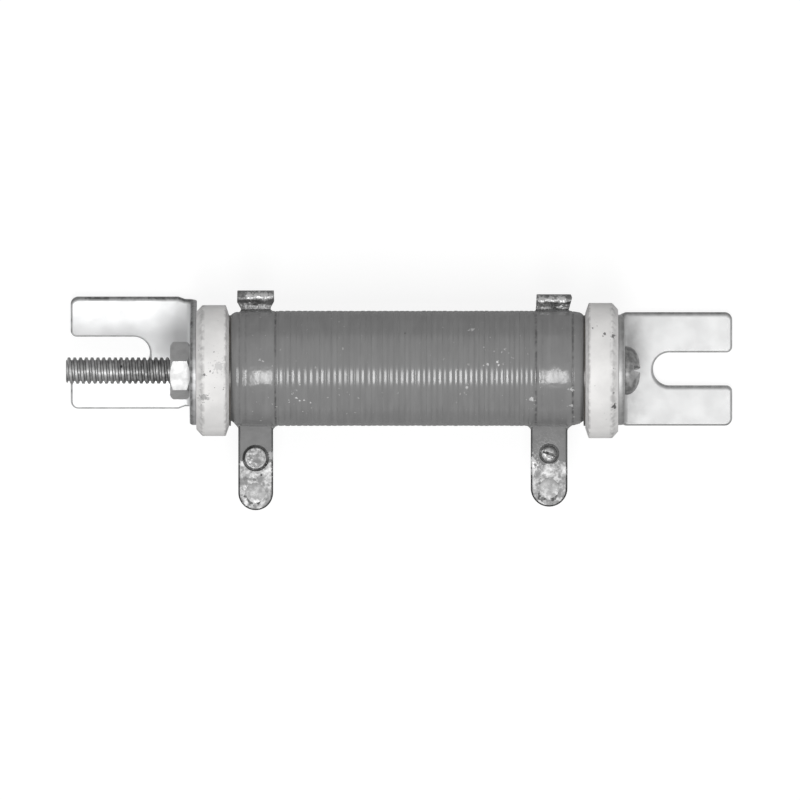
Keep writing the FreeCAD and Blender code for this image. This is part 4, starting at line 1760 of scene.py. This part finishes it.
@dataclass
class Terminal:
    """One strip round the tube: band, two-ply lug, ear, fastener and solder."""

    side: Side
    band: Pair
    lug_x: float
    lug_width: float
    solder_y: float
    fastener_y: float
    fastener: Fastener
    window_radius: float
    solder_edge: float
    ear_left: Sequence[Pair]
    ear_right: Sequence[Pair]
    roll_y: float
    roll_radius: float
    spots: tuple[Spot, ...]
    ply: float = 0.45
    ply_gap: float = 0.01
    solder_radius: float = 1.75
    shank_radius: float = 1.2
    rollover: Pair = (0.38, 0.18)
    burr: float = 0.05
    neck: float = 0.55
    roll_start: float = 40.0
    roll_sweep: float = 280.0
    bulge: float = 0.06
    dent: float = 0.35
    screw_turn: float = 72.0
    nut_flats: float = 3.6
    nut_height: float = 1.2

    @property
    def lug_span(self) -> Pair:
        """Both edges of the lug along the tube."""
        return (self.lug_x - self.lug_width / 2, self.lug_x + self.lug_width / 2)

    @property
    def ear_root(self) -> Pair:
        """Both edges of the ear where it leaves the coat."""
        return (self.ear_left[0][1], self.ear_right[0][1])

    def build(self) -> None:
        """Build the strip, its fastener and its solder."""
        skin = Skin()
        self.add_band(skin)
        self.add_lug(skin)
        self.add_ear(skin)
        name = f"terminal_{self.side.word}"
        piece = new_object(f"{name}_formed", skin.mesh(name))
        hand_over(piece, self.finish(), name, 32.0)
        if self.fastener is Fastener.RIVET:
            self.build_rivet()
        else:
            self.build_screw()
        self.build_solder()

    def finish(self) -> StripFinish:
        """The strip's finish, with its zones in this terminal's places.

        Returns:
            The finish.
        """
        return replace(
            TINNED_STRIP,
            name=f"terminal_strip_{self.side.word}",
            spots=self.spots,
            lug_x=self.lug_x,
            window_y=self.fastener_y,
            window_radius=self.window_radius,
            solder_edge=self.solder_edge,
        )

    def add_band(self, skin: Skin) -> None:
        """Add the ring that grips the tube under the enamel.

        Args:
            skin: the skin to add to.
        """
        profile = rectangle(self.band, (CORE_RADIUS, CORE_RADIUS + self.ply), (0.0, 0.1), 3)
        skin.turn(TUBE, profile, wrap=True)

    def add_lug(self, skin: Skin) -> None:
        """Add both plies of the lug, the front one with its open window.

        Args:
            skin: the skin to add to.
        """
        start, stop = self.lug_span
        half = self.lug_width / 2
        root = TUBE_SHIFT - CORE_RADIUS - self.ply / 2
        tip, round_tip = self.solder_y - half, half - SLACK
        corners = [
            (start, root, 0.0), (start, tip, round_tip), (stop, tip, round_tip), (stop, root, 0.0),
        ]
        outline = rounded(corners, closed=True, steps=24)
        solder = circle(self.lug_x, self.solder_y, self.solder_radius)
        window = circle(self.lug_x, self.fastener_y, self.window_radius)
        shank = circle(self.lug_x, self.fastener_y, self.shank_radius)
        levels = edge_levels(self.ply - self.ply_gap, self.rollover, self.burr)
        for holes, depth in (([solder, window], 0.5), ([solder, shank], -0.5)):
            middle = AXIS_HEIGHT + depth * self.ply

            def placer(x: float, y: float, height: float, middle: float = middle) -> Vector:
                """Point of the flat ply in its place on the lug."""
                return Vector((x, y, middle + height)) * MM

            add_plate(skin, outline, holes, levels, placer, crisp=0.1)

    def add_ear(self, skin: Skin) -> None:
        """Add the pinched ear: two plies that part into a roll.

        Args:
            skin: the skin to add to.
        """
        radius = self.roll_radius - self.ply / 2
        side = self.ply / 2
        root = TUBE_SHIFT + CORE_RADIUS + side
        neck = self.roll_y - radius - self.neck
        path = [(root, -side), (neck, -side)]
        steps = 20
        for step in range(steps + 1):
            angle = math.radians(self.roll_start + self.roll_sweep * step / steps)
            path.append((self.roll_y - radius * math.cos(angle), -radius * math.sin(angle)))
        path += [(neck, side), (root, side)]
        for _ in range(2):
            path = chaikin(path)
        half = side - self.ply_gap
        rings = []
        for index, point in enumerate(path):
            here = Vector(point)
            back = Vector(path[max(index - 1, 0)])
            ahead = Vector(path[min(index + 1, len(path) - 1)])
            tangent = (ahead - back).normalized()
            out = Vector((-tangent.y, tangent.x))
            bulge = self.bulge * math.sin(index * 0.9)
            left = interpolate(self.ear_left, here.x) + bulge * 0.5
            right = interpolate(self.ear_right, here.x) + bulge * 0.3
            section = rectangle((left, right), (-half, half), (0.1, 0.1), 3)
            ring = []
            for x, away in section:
                dent = abs(noise.noise(Vector((x * 1.1, index * 0.35, away * 0.5))))
                spot = here + out * (away - self.dent * dent if away > 0 else away)
                ring.append(Vector((x, spot.x, AXIS_HEIGHT + spot.y)) * MM)
            rings.append(ring)
        skin.loft(rings)

    def spindle(self, y: float) -> Spindle:
        """Upright axis through the middle of the lug."""
        return Spindle(Axis.Z, (self.lug_x, y, AXIS_HEIGHT))

    def build_rivet(self) -> None:
        """Build the clinched rivet with its dished, uneven head."""
        corners = (
            (-1.05, 0.0, 0.0), (-1.05, 1.85, 0.25), (-0.45, 1.95, 0.05), (-0.45, 1.2, 0.0),
            (0.0, 1.2, 0.0), (0.0, 1.9, 0.05), (0.45, 2.02, 0.15), (0.8, 1.95, 0.14),
            (0.85, 1.7, 0.1), (0.8, 1.45, 0.1), (0.82, 0.9, 0.1), (0.82, 0.0, 0.0),
        )
        profile = rounded(corners)
        # The mark paints shade on the rim of the head
        marks = [1.0 if radius > 1.97 else 0.0 for _, radius in profile]
        skin = Skin()
        skin.turn(self.spindle(self.fastener_y), profile, 72, marks)
        piece = new_object("lug_rivet_left_clinched", skin.mesh("lug_rivet_left"))
        roughen(piece.data, 0.06, 900.0)
        hand_over(piece, RIVET_METAL, "lug_rivet_left", 45.0)

    def build_screw(self) -> None:
        """Build the small slotted screw and its nut."""
        spindle = self.spindle(self.fastener_y)
        centre = Vector(spindle.centre)
        corners = (
            (-2.1, 0.0, 0.0), (-2.1, 0.9, 0.12), (0.0, 0.9, 0.0), (0.0, 1.4, 0.05),
            (0.5, 1.4, 0.25), (0.8, 1.0, 0.5), (0.82, 0.0, 0.0),
        )
        skin = Skin()
        skin.turn(spindle, rounded(corners), 64)
        piece = new_object("lug_screw_right_slotted", skin.mesh("lug_screw_right"))
        across = math.radians(self.screw_turn)
        slot = box_skin(Vector((0.45, 6.0, 0.8)), Vector((0.0, 0.0, 0.8)))
        seat = Matrix.Translation(centre * MM) @ Matrix.Rotation(across, 4, "Z")
        slot.points = [seat @ point for point in slot.points]
        carve(piece, [("DIFFERENCE", slot)], 0.05)

        def in_slot(spot: Vector) -> float:
            """Whether a point lies in the screw's slot."""
            x, y, up = spot - centre
            away = x * math.cos(across) + y * math.sin(across)
            return 1.0 if abs(away) < 0.3 and 0.3 < up < 0.78 else 0.0

        # The mark paints shade on the floor of the slot
        mark_where(piece.data, in_slot)
        hand_over(piece, RIVET_METAL, "lug_screw_right", 45.0)
        span = (-self.ply - self.nut_height, -self.ply)
        nut = hex_skin(centre, Axis.Z, self.nut_flats, span, 0.0)
        piece = new_object("lug_nut_right_eased", nut.mesh("lug_nut_right"))
        flat = self.nut_flats / 2
        wall = flat / math.cos(math.radians(30)) + 0.05
        start, stop = span
        profile = [(start, 0.0), (start, flat), (start + 0.17, wall), (stop, wall), (stop, 0.0)]
        barrel = Skin()
        barrel.turn(spindle, profile, 72)
        bore = Skin()
        bore.turn(spindle, [(-3.0, 0.0), (-3.0, 0.92), (0.5, 0.92), (0.5, 0.0)], 48)
        carve(piece, [("INTERSECT", barrel), ("DIFFERENCE", bore)], 0.05)
        hand_over(piece, ZINC_NUT, "lug_nut_right", 35.0)

    def build_solder(self) -> None:
        """Build the solder that fills the outer hole, sunk at its rim."""
        rim = self.solder_radius
        profile = [
            (-0.48, 0.0), (-0.48, rim * 0.7), (-0.45, rim + 0.1), (-0.3, rim), (0.2, rim),
            (0.36, rim + 0.12), (0.44, rim + 0.12), (0.47, rim - 0.05), (0.47, rim * 0.5), (0.47, 0.0),
        ]
        skin = Skin()
        skin.turn(self.spindle(self.solder_y), profile, 64)
        name = f"solder_fill_{self.side.word}"
        piece = new_object(f"{name}_pooled", skin.mesh(name))
        roughen(piece.data, 0.05, 700.0)
        hand_over(piece, SOLDER_POOL, name, 50.0)


def chaikin(path: Sequence[Pair]) -> list[Pair]:
    """Cut each corner of a path once, its ends kept.

    Args:
        path: the points of the path.

    Returns:
        The points of the softer path.
    """
    cut = [path[0]]
    for start, stop in zip(path, path[1:]):
        for share in (0.25, 0.75):
            cut.append(tuple(start[k] + (stop[k] - start[k]) * share for k in (0, 1)))
    return [*cut, path[-1]]


def interpolate(table: Sequence[Pair], place: float) -> float:
    """Look up a short table.

    Args:
        table: pairs of place and value, by rising place.
        place: where the value is wanted.

    Returns:
        The value there, level beyond both ends.
    """
    if place <= table[0][0]:
        return table[0][1]
    for (start, low), (stop, high) in zip(table, table[1:]):
        if place <= stop:
            return low + (high - low) * (place - start) / (stop - start)
    return table[-1][1]


def roughen(mesh: Mesh, depth: float, frequency: float) -> None:
    """Move a mesh's points along their normals by noise.

    Args:
        mesh: the mesh to change.
        depth: the most that a point moves.
        frequency: how fine the noise is, per metre.
    """
    normals = [vertex.normal.copy() for vertex in mesh.vertices]
    for vertex, normal in zip(mesh.vertices, normals):
        amount = noise.noise(vertex.co * frequency) * depth * MM
        vertex.co = vertex.co + normal * min(amount, 0.0)


def box_skin(size: Vector, centre: Vector) -> Skin:
    """Box, as a cutting tool.

    Args:
        size: its three sizes.
        centre: its centre.

    Returns:
        The skin.
    """
    corners = ((-0.5, -0.5), (0.5, -0.5), (0.5, 0.5), (-0.5, 0.5))
    rings = []
    for z in (-0.5, 0.5):
        rings.append([(centre + size * Vector((x, y, z))) * MM for x, y in corners])
    skin = Skin()
    skin.loft(rings)
    return skin


def hex_skin(centre: Vector, along: Axis, flats: float, span: Pair, turn: float) -> Skin:
    """Hexagonal prism.

    Args:
        centre: a point on its axis.
        along: the direction of its axis.
        flats: its width across flats.
        span: where it starts and ends along the axis.
        turn: its turn, in degrees, from a corner on the first side axis.

    Returns:
        The skin.
    """
    corner = flats / 2 / math.cos(math.radians(30))
    skin = Skin()
    rings = []
    for place in span:
        ring = []
        for index in range(6):
            angle = math.radians(60 * index + turn)
            first = corner * math.cos(angle)
            second = corner * math.sin(angle)
            offset = (place, first, second) if along is Axis.X else (first, second, place)
            ring.append((centre + Vector(offset)) * MM)
        rings.append(ring)
    skin.loft(rings)
    return skin


# End washers, brackets and bolt


@dataclass
class EndWasher:
    """Ceramic washer with its boss, and the mica behind it."""

    side: Side
    rim: float
    ease: float = 0.22
    spigot_radius: float = 5.9
    spigot_length: float = 3.0
    bore: float = 2.65
    inner_chamfer: Pair = (0.64, 1.9)
    outer_chamfer: Pair = (1.1, 1.2)

    def build(self) -> None:
        """Build the washer and dress the mica."""
        sign = self.side.value
        inner_length, inner_drop = self.inner_chamfer
        outer_length, outer_drop = self.outer_chamfer
        corners = [
            (sign * (WASHER_FACE - self.spigot_length), self.bore, 0.0),
            (sign * (WASHER_FACE - self.spigot_length), self.spigot_radius, 0.2),
            (sign * WASHER_FACE, self.spigot_radius, 0.2),
            (sign * WASHER_FACE, self.rim - inner_drop, 0.15),
            (sign * (WASHER_FACE + inner_length), self.rim, self.ease),
            (sign * (WASHER_FACE + inner_length + 0.4), self.rim, 0.0),
            (sign * (STACK_FACE - outer_length - 0.6), self.rim, 0.0),
            (sign * (STACK_FACE - outer_length), self.rim, self.ease * 1.6),
            (sign * STACK_FACE, self.rim - outer_drop, self.ease),
            (sign * STACK_FACE, self.bore, 0.0),
        ]
        profile = rounded(corners, closed=True, steps=5)
        marks = [self.soil(place, radius) for place, radius in profile]
        skin = Skin()
        skin.turn(BOLT, profile, 160, marks=marks, wrap=True)
        name = f"end_washer_{self.side.word}"
        piece = new_object(f"{name}_pressed", skin.mesh(name))
        hand_over(piece, STEATITE, name)
        dress_node(f"mica_washer_{self.side.word}", MICA_SHEET)

    def soil(self, place: float, radius: float) -> float:
        """Mark of soil, where the rim meets a chamfer.

        Args:
            place: place along the bolt.
            radius: distance from the bolt's axis.

        Returns:
            The mark.
        """
        edges = (WASHER_FACE + self.inner_chamfer[0], STACK_FACE - self.outer_chamfer[0])
        near = min(abs(abs(place) - edge) for edge in edges)
        return 1.0 if near < 0.2 and radius > self.rim - 0.3 else 0.0


@dataclass
class Bracket:
    """Leg and slotted foot, stamped from sheet and bent."""

    side: Side
    foot_length: float
    turn: float = 0.0
    sheet: float = 1.2
    half_foot: float = 10.35
    half_leg: float = 9.95
    bend: float = 0.8
    slot_half: float = 3.0
    slot_depth: float = 14.5
    rollover: Pair = (0.82, 0.75)
    narrow: float = 0.5
    shoulder: Pair = (1.0, 2.2)
    burr: float = 0.12
    tip_corner: float = 1.4
    mouth_corner: float = 1.1
    shoulder_corner: float = 0.4
    hole_radius: float = 2.6
    bend_steps: int = 12
    weld: float = 0.2

    @property
    def middle(self) -> float:
        """Bend radius of the sheet's middle."""
        return self.bend + self.sheet / 2

    @property
    def bend_start(self) -> float:
        """Distance down the leg from the bolt to the bend."""
        return AXIS_HEIGHT - self.sheet - self.bend

    @property
    def bend_end(self) -> float:
        """Distance along the sheet's middle to the end of the bend."""
        return self.bend_start + self.middle * math.pi / 2

    def along(self, beyond_leg: float) -> float:
        """Distance along the flat sheet for a place beyond the leg's face."""
        return self.bend_end + beyond_leg - self.bend

    def placer(self, along: float, across: float, height: float) -> Vector:
        """Bend a point of the flat sheet into its place.

        Args:
            along: distance down the sheet from the bolt axis.
            across: distance across the sheet.
            height: distance from the sheet's middle, outward.

        Returns:
            The point, in metres.
        """
        leg = STACK_FACE + self.sheet / 2
        if along <= self.bend_start:
            x, z = leg + height, AXIS_HEIGHT - along
        elif along < self.bend_end:
            angle = (along - self.bend_start) / self.middle
            radius = self.middle - height
            x = leg + self.middle - radius * math.cos(angle)
            z = self.sheet + self.bend - radius * math.sin(angle)
        else:
            x, z = leg + self.middle + along - self.bend_end, self.sheet / 2 + height
        turn = Matrix.Rotation(math.radians(self.turn), 3, "X")
        spot = turn @ Vector((self.side.value * x, across, z - AXIS_HEIGHT))
        return (spot + Vector((0.0, 0.0, AXIS_HEIGHT))) * MM

    def build(self) -> None:
        """Stamp the flat sheet, then bend it."""
        tip = self.along(self.foot_length)
        shoulder, full = (self.along(place) for place in self.shoulder)
        half = [
            (-self.half_leg, -self.half_leg, self.half_leg - SLACK),
            (shoulder, -self.half_leg, self.shoulder_corner),
            (full, -self.half_foot, self.shoulder_corner),
            (tip, -self.half_foot, self.tip_corner),
            (tip, -self.slot_half, self.mouth_corner),
            (tip - self.slot_depth, -self.slot_half, self.slot_half - SLACK),
        ]
        mirrored = [(along, -across, radius) for along, across, radius in reversed(half)]
        outline = rounded(half + mirrored, closed=True, steps=16)
        skin = Skin()
        levels = edge_levels(self.sheet, self.rollover, self.burr)

        def flat(along: float, across: float, height: float) -> Vector:
            """Point of the sheet before it is bent."""
            return Vector((along, across, height))

        hole = circle(0.0, 0.0, self.hole_radius)
        add_plate(skin, outline, [hole], levels, flat, narrow=self.narrow)
        name = f"bracket_{self.side.word}"
        mesh = skin.mesh(name, self.weld)
        work = bmesh.new()
        work.from_mesh(mesh)
        for step in range(self.bend_steps + 1):
            place = self.bend_start + (self.bend_end - self.bend_start) * step / self.bend_steps
            parts = [*work.verts, *work.edges, *work.faces]
            cut = {"plane_co": (place, 0, 0), "plane_no": (1, 0, 0), "dist": 1e-6}
            bmesh.ops.bisect_plane(work, geom=parts, **cut)
        for vertex in work.verts:
            vertex.co = self.placer(*vertex.co)
        bmesh.ops.recalc_face_normals(work, faces=work.faces)
        work.to_mesh(mesh)
        work.free()
        piece = new_object(f"{name}_stamped", mesh)
        hand_over(piece, ZINC_SHEET, name)


@dataclass
class ThroughBolt:
    """Slotted screw through the stack, and its nut."""

    radius: float = 2.415
    thread_depth: float = 0.5
    pitch: float = 1.058
    thread_turns: int = 25
    thread_segments: int = 48
    tip: float = -62.3
    tip_chamfer: float = 0.35
    head_radius: float = 4.45
    head_height: float = 2.85
    dome_power: float = 2.3
    dome_foot: float = 0.08
    slot_width: float = 1.05
    slot_depth: float = 1.15
    turn: float = -7.6
    nut_flats: float = 9.3
    nut_thickness: float = 3.6
    nut_chamfer: float = 0.55
    nut_turn: float = 10.6
    nut_bore: float = 2.435

    def build(self) -> None:
        """Build the bolt, then the nut."""
        self.build_bolt()
        self.build_nut()

    def build_bolt(self) -> None:
        """Build the head and shank, cut the slot, and grow the thread."""
        top = LEG_FACE + self.head_height
        shank = self.radius - 0.02
        profile = [(-LEG_FACE - 0.3, 0.0), (-LEG_FACE - 0.3, shank), (LEG_FACE, shank)]
        profile.append((LEG_FACE, self.head_radius - 0.1))
        steps = 24
        for step in range(steps + 1):
            share = math.sin(math.pi / 2 * step / steps)
            radius = self.head_radius * (1 - share**self.dome_power) ** (1 / self.dome_power)
            rise = self.dome_foot + (self.head_height - self.dome_foot) * share
            profile.append((LEG_FACE + rise, radius))
        skin = Skin()
        skin.turn(BOLT, profile, 96)
        piece = new_object("through_bolt_slotted", skin.mesh("through_bolt"))
        slot = box_skin(
            Vector((2 * self.slot_depth, self.slot_width, 3 * self.head_radius)),
            Vector((top, 0.0, 0.0)),
        )
        seat = Matrix.Translation(Vector((0.0, 0.0, AXIS_HEIGHT * MM)))
        seat = seat @ Matrix.Rotation(math.radians(self.turn), 4, "X")
        slot.points = [seat @ point for point in slot.points]
        carve(piece, [("DIFFERENCE", slot)], 0.1)
        values = {
            "Pitch": self.pitch * MM,
            "Turns": self.thread_turns,
            "Segments": self.thread_segments,
            "Radius": self.radius * MM,
            "Depth": self.thread_depth * MM,
            "Tip": self.tip * MM,
            "End": -LEG_FACE * MM,
            "Chamfer": self.tip_chamfer * MM,
            "Centre": (0.0, 0.0, AXIS_HEIGHT * MM),
            "Material": DARK_STEEL.material(),
        }
        grow(piece, thread_tree(), values)
        tidy(piece.data, WELD)
        hand_over(piece, DARK_STEEL, "through_bolt", 34.0)

    def build_nut(self) -> None:
        """Build the hexagon nut with both faces chamfered."""
        start, stop = -LEG_FACE - self.nut_thickness, -LEG_FACE
        centre = Vector(BOLT.centre)
        nut = hex_skin(centre, Axis.X, self.nut_flats, (start, stop), self.nut_turn)
        piece = new_object("hex_nut_chamfered", nut.mesh("hex_nut"))
        flat = self.nut_flats / 2
        corner = flat / math.cos(math.radians(30))
        wall = corner + 0.1
        slope = self.nut_chamfer * (wall - flat) / (corner - flat)
        profile = [
            (start, 0.0), (start, flat), (start + slope, wall),
            (stop - slope, wall), (stop, flat), (stop, 0.0),
        ]
        barrel = Skin()
        barrel.turn(BOLT, profile, 120)
        inside = self.nut_bore
        hole = [(start - 1, 0.0), (start - 1, inside), (stop + 1, inside), (stop + 1, 0.0)]
        bore = Skin()
        bore.turn(BOLT, hole, 64)
        carve(piece, [("INTERSECT", barrel), ("DIFFERENCE", bore)], 0.1)
        hand_over(piece, ZINC_NUT, "hex_nut", 35.0)


# The studio


@dataclass
class Studio:
    """Floor, lights and camera round the part."""

    camera_distance: float = 5.5
    camera_tilt: float = 1.0
    view_width: float = 0.1461
    aim: Triple = (-1.32, -5.38, AXIS_HEIGHT)
    world_level: float = 0.66
    key_level: float = 11.5
    key_tilt: float = 16.0
    key_distance: float = 1.2
    key_size: Pair = (0.26, 0.52)
    floor_level: float = 0.82
    floor_half: float = 4.0
    paper: Pair = (0.22, 0.24)
    paper_clouds: Triple = (20.0, 20.0, 20.0)
    card_value: float = 0.42
    card_span: Pair = (0.012, 0.5)
    card_half: float = 0.8
    card_height: float = 0.2

    def build(self) -> None:
        """Set up everything that isn't the part."""
        scene = bpy.context.scene
        scene.view_settings.view_transform = "Standard"
        self.build_camera()
        self.build_world()
        self.build_key()
        self.build_floor()
        self.build_cards()

    def build_camera(self) -> None:
        """Add the camera, straight above and a little toward +Y."""
        data = bpy.data.cameras.new("camera")
        data.sensor_width = 36.0
        data.lens = data.sensor_width * self.camera_distance / self.view_width
        data.clip_start = 0.05
        data.clip_end = 50.0
        camera = bpy.data.objects.new("camera", data)
        tilt = math.radians(self.camera_tilt)
        away = Vector((0.0, math.sin(tilt), math.cos(tilt))) * self.camera_distance
        camera.location = Vector(self.aim) * MM + away
        camera.rotation_euler = (-tilt, 0.0, 0.0)
        bpy.context.scene.collection.objects.link(camera)
        bpy.context.scene.camera = camera

    def build_world(self) -> None:
        """Light the part evenly from a pale world."""
        world = bpy.data.worlds.new("studio")
        bpy.context.scene.world = world
        world.use_nodes = True
        world.node_tree.nodes.clear()
        pen = Pen(world.node_tree)
        level = self.world_level
        light = pen.add("ShaderNodeBackground", {"Color": (1.0, 1.0, 1.0, 1.0), "Strength": level})
        out = pen.add("ShaderNodeOutputWorld")
        pen.feed(out.inputs[0], light.outputs[0])

    def build_key(self) -> None:
        """Add the soft box close to the camera, toward the lugs."""
        width, depth = self.key_size
        data = bpy.data.lights.new("key", "AREA")
        data.shape = "RECTANGLE"
        data.size = width
        data.size_y = depth
        data.energy = self.key_level * math.pi * width * depth
        lamp = bpy.data.objects.new("key", data)
        tilt = math.radians(self.key_tilt)
        away = Vector((0.0, -math.sin(tilt), math.cos(tilt))) * self.key_distance
        lamp.location = Vector((0.0, 0.0, AXIS_HEIGHT * MM)) + away
        lamp.rotation_euler = (tilt, 0.0, 0.0)
        bpy.context.scene.collection.objects.link(lamp)

    def build_floor(self) -> None:
        """Add the pale floor that keeps the part's shadow."""
        centre = Vector((0, 0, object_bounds()[0][2]))
        half = self.floor_half
        floor = self.panel("floor", centre, Vector((half, 0, 0)), Vector((0, half, 0)))
        material = bpy.data.materials.new("paper_floor")
        material.use_nodes = True
        material.node_tree.nodes.clear()
        pen = Pen(material.node_tree)
        cloud = pen.group(mottling_tree(), Frequency=self.paper_clouds)
        colour = pen.tint(cloud, *(grey(value) for value in self.paper))
        paper = pen.add("ShaderNodeBsdfPrincipled", {"Base Color": colour, "Roughness": 0.9})
        path = pen.add("ShaderNodeLightPath").outputs
        seen = pen.math("MAXIMUM", path["Is Camera Ray"], path["Is Glossy Ray"])
        seen = pen.math("MAXIMUM", seen, path["Is Transmission Ray"])
        strength = pen.times(seen, self.floor_level)
        glow = pen.add("ShaderNodeEmission", {"Strength": strength})
        both = pen.add("ShaderNodeAddShader", {0: paper.outputs[0], 1: glow.outputs[0]})
        out = pen.add("ShaderNodeOutputMaterial")
        pen.feed(out.inputs["Surface"], both.outputs[0])
        floor.data.materials.append(material)

    def build_cards(self) -> None:
        """Add the grey cards that give rounded edges their dark line."""
        material = bpy.data.materials.new("grey_card")
        material.use_nodes = True
        shader = material.node_tree.nodes["Principled BSDF"]
        shader.inputs["Base Color"].default_value = opaque(grey(self.card_value))
        shader.inputs["Roughness"].default_value = 1.0
        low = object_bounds()[0][2] + 0.0001
        near, far = self.card_span
        half = (far - near) / 2
        middle = near + half
        rise = self.card_height / 2
        cards = (
            ("card_standing", Vector((0, far, rise)), Vector((0, 0, rise))),
            ("card_above", Vector((0, middle, low)), Vector((0, half, 0))),
            ("card_below", Vector((0, -middle, low)), Vector((0, half, 0))),
        )
        for name, centre, up in cards:
            card = self.panel(name, centre, Vector((self.card_half, 0, 0)), up)
            card.visible_camera = False
            card.visible_diffuse = False
            card.visible_shadow = False
            card.data.materials.append(material)

    @staticmethod
    def panel(name: str, centre: Vector, across: Vector, up: Vector) -> Object:
        """Add a flat stage panel.

        Args:
            name: its name.
            centre: its centre.
            across: half of its first side.
            up: half of its second side.

        Returns:
            The panel.
        """
        signs = ((-1, -1), (1, -1), (1, 1), (-1, 1))
        corners = [centre + across * first + up * second for first, second in signs]
        mesh = bpy.data.meshes.new(name)
        mesh.from_pydata(corners, [], [(0, 1, 2, 3)])
        made = new_object(name, mesh)
        made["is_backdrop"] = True
        return made


def terminals() -> list[Terminal]:
    """Describe both terminals by what differs between them.

    Returns:
        The left one and the right one.
    """
    left = Terminal(
        side=Side.LEFT,
        band=(-29.925, -24.475),
        lug_x=-27.67,
        lug_width=6.35,
        solder_y=-22.325,
        fastener_y=-15.975,
        fastener=Fastener.RIVET,
        window_radius=2.4,
        solder_edge=-16.6,
        ear_left=[(11.3, -30.35), (12.5, -31.05), (14.5, -31.0)],
        ear_right=[(11.5, -24.95), (12.7, -24.3), (14.4, -24.36)],
        roll_y=TUBE_SHIFT + 13.05,
        roll_radius=1.2,
        # Pale spots on the lug are painted glints and those along the ear's roll a painted highlight;
        # dark spots just outside the solder are painted shadow of its raised rim, the large dark spot
        # under the roll is painted shade, and the other dark spots are marks
        spots=(
            Spot(-28.3, -19.2, 1.1, 0.5, 0.6, broken=0.6), Spot(-28.1, -19.0, 0.6, 0.5, 0.7),
            Spot(-25.4, -18.4, 0.8, 0.5, 0.6), Spot(-24.75, -15.4, 0.6, 0.5, 0.7),
            Spot(-30.2, -17.1, 0.5, 0.5, 0.6), Spot(-29.9, -22.3, 0.4, 0.52, 0.6),
            Spot(-29.5, -21.7, 0.35, 0.52, 0.6), Spot(-29.1, -21.2, 0.35, 0.5, 0.6),
            Spot(-29.75, -23.3, 0.5, 0.5, 0.7), Spot(-29.4, -24.1, 0.45, 0.5, 0.7),
            Spot(-27.9, -20.0, 0.3, 0.06, 0.7), Spot(-29.3, -19.4, 0.5, 0.1, 0.5),
            Spot(-29.35, -23.0, 0.3, 0.04, 0.8), Spot(-29.0, -23.55, 0.35, 0.04, 0.8),
            Spot(-28.6, -24.0, 0.45, 0.04, 0.85), Spot(-27.35, -24.0, 0.4, 0.04, 0.85),
            Spot(-28.7, 13.7, 0.8, 0.6, 0.8), Spot(-27.3, 13.75, 0.7, 0.65, 0.8),
            Spot(-26.1, 13.65, 0.8, 0.6, 0.7), Spot(-24.9, 13.8, 0.5, 0.55, 0.7),
            Spot(-29.9, 13.4, 0.4, 0.08, 0.6), Spot(-27.6, 12.4, 0.9, 0.08, 0.5),
        ),
    )
    right = Terminal(
        side=Side.RIGHT,
        band=(23.7, 30.1),
        lug_x=25.91,
        lug_width=6.7,
        solder_y=-21.5,
        fastener_y=-15.15,
        fastener=Fastener.SCREW,
        window_radius=1.82,
        solder_edge=-16.7,
        ear_left=[(11.2, 23.5), (13.7, 23.64)],
        ear_right=[(10.6, 29.35), (13.3, 30.1), (13.9, 29.8)],
        roll_y=TUBE_SHIFT + 12.5,
        roll_radius=1.05,
        # Pale spots on the lug are painted glints, the pale crescent round the screw's window and the
        # pale spots along the ear's roll are painted highlights; dark spots just outside the solder are
        # painted shadow of its raised rim, the dark spot under the roll is painted shade, and the other
        # dark spots are marks
        spots=(
            Spot(22.9, -16.5, 0.7, 0.62, 0.9), Spot(23.1, -17.2, 0.8, 0.6, 0.8),
            Spot(22.9, -18.2, 0.6, 0.55, 0.7), Spot(25.6, -18.2, 1.0, 0.47, 0.6),
            Spot(28.7, -18.4, 0.6, 0.47, 0.6), Spot(24.2, -22.95, 0.35, 0.05, 0.8),
            Spot(24.7, -23.4, 0.4, 0.05, 0.8), Spot(26.6, -23.45, 0.4, 0.05, 0.8),
            Spot(27.15, -23.0, 0.35, 0.05, 0.8), Spot(27.35, -20.7, 0.3, 0.06, 0.7),
            Spot(24.2, -20.6, 0.3, 0.08, 0.6), Spot(23.4, -17.3, 0.3, 0.05, 0.8),
            Spot(27.2, -17.6, 0.5, 0.1, 0.5), Spot(25.91, -15.15, 2.4, 0.5, 0.6, shift=(0.2, -0.3)),
            Spot(24.6, 12.9, 0.8, 0.6, 0.7), Spot(26.2, 13.0, 0.9, 0.62, 0.8),
            Spot(28.0, 12.95, 0.9, 0.6, 0.8), Spot(29.3, 12.6, 0.4, 0.08, 0.6),
            Spot(26.8, 11.9, 0.8, 0.08, 0.5),
        ),
    )
    return [left, right]


def main() -> None:
    """Build the studio and every sub-assembly."""
    logging.basicConfig(level=logging.INFO, format="%(name)s %(message)s")
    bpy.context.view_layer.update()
    Studio().build()
    strips = terminals()
    EnamelledTube().build(strips)
    for strip in strips:
        strip.build()
    for washer in (EndWasher(Side.LEFT, 11.95), EndWasher(Side.RIGHT, 12.35)):
        washer.build()
    Bracket(Side.LEFT, 21.95, turn=9.2, half_foot=10.39).build()
    Bracket(Side.RIGHT, 19.85, half_foot=10.4, shoulder=(-0.5, 0.4)).build()
    ThroughBolt().build()


if __name__ == "__main__":
    main()
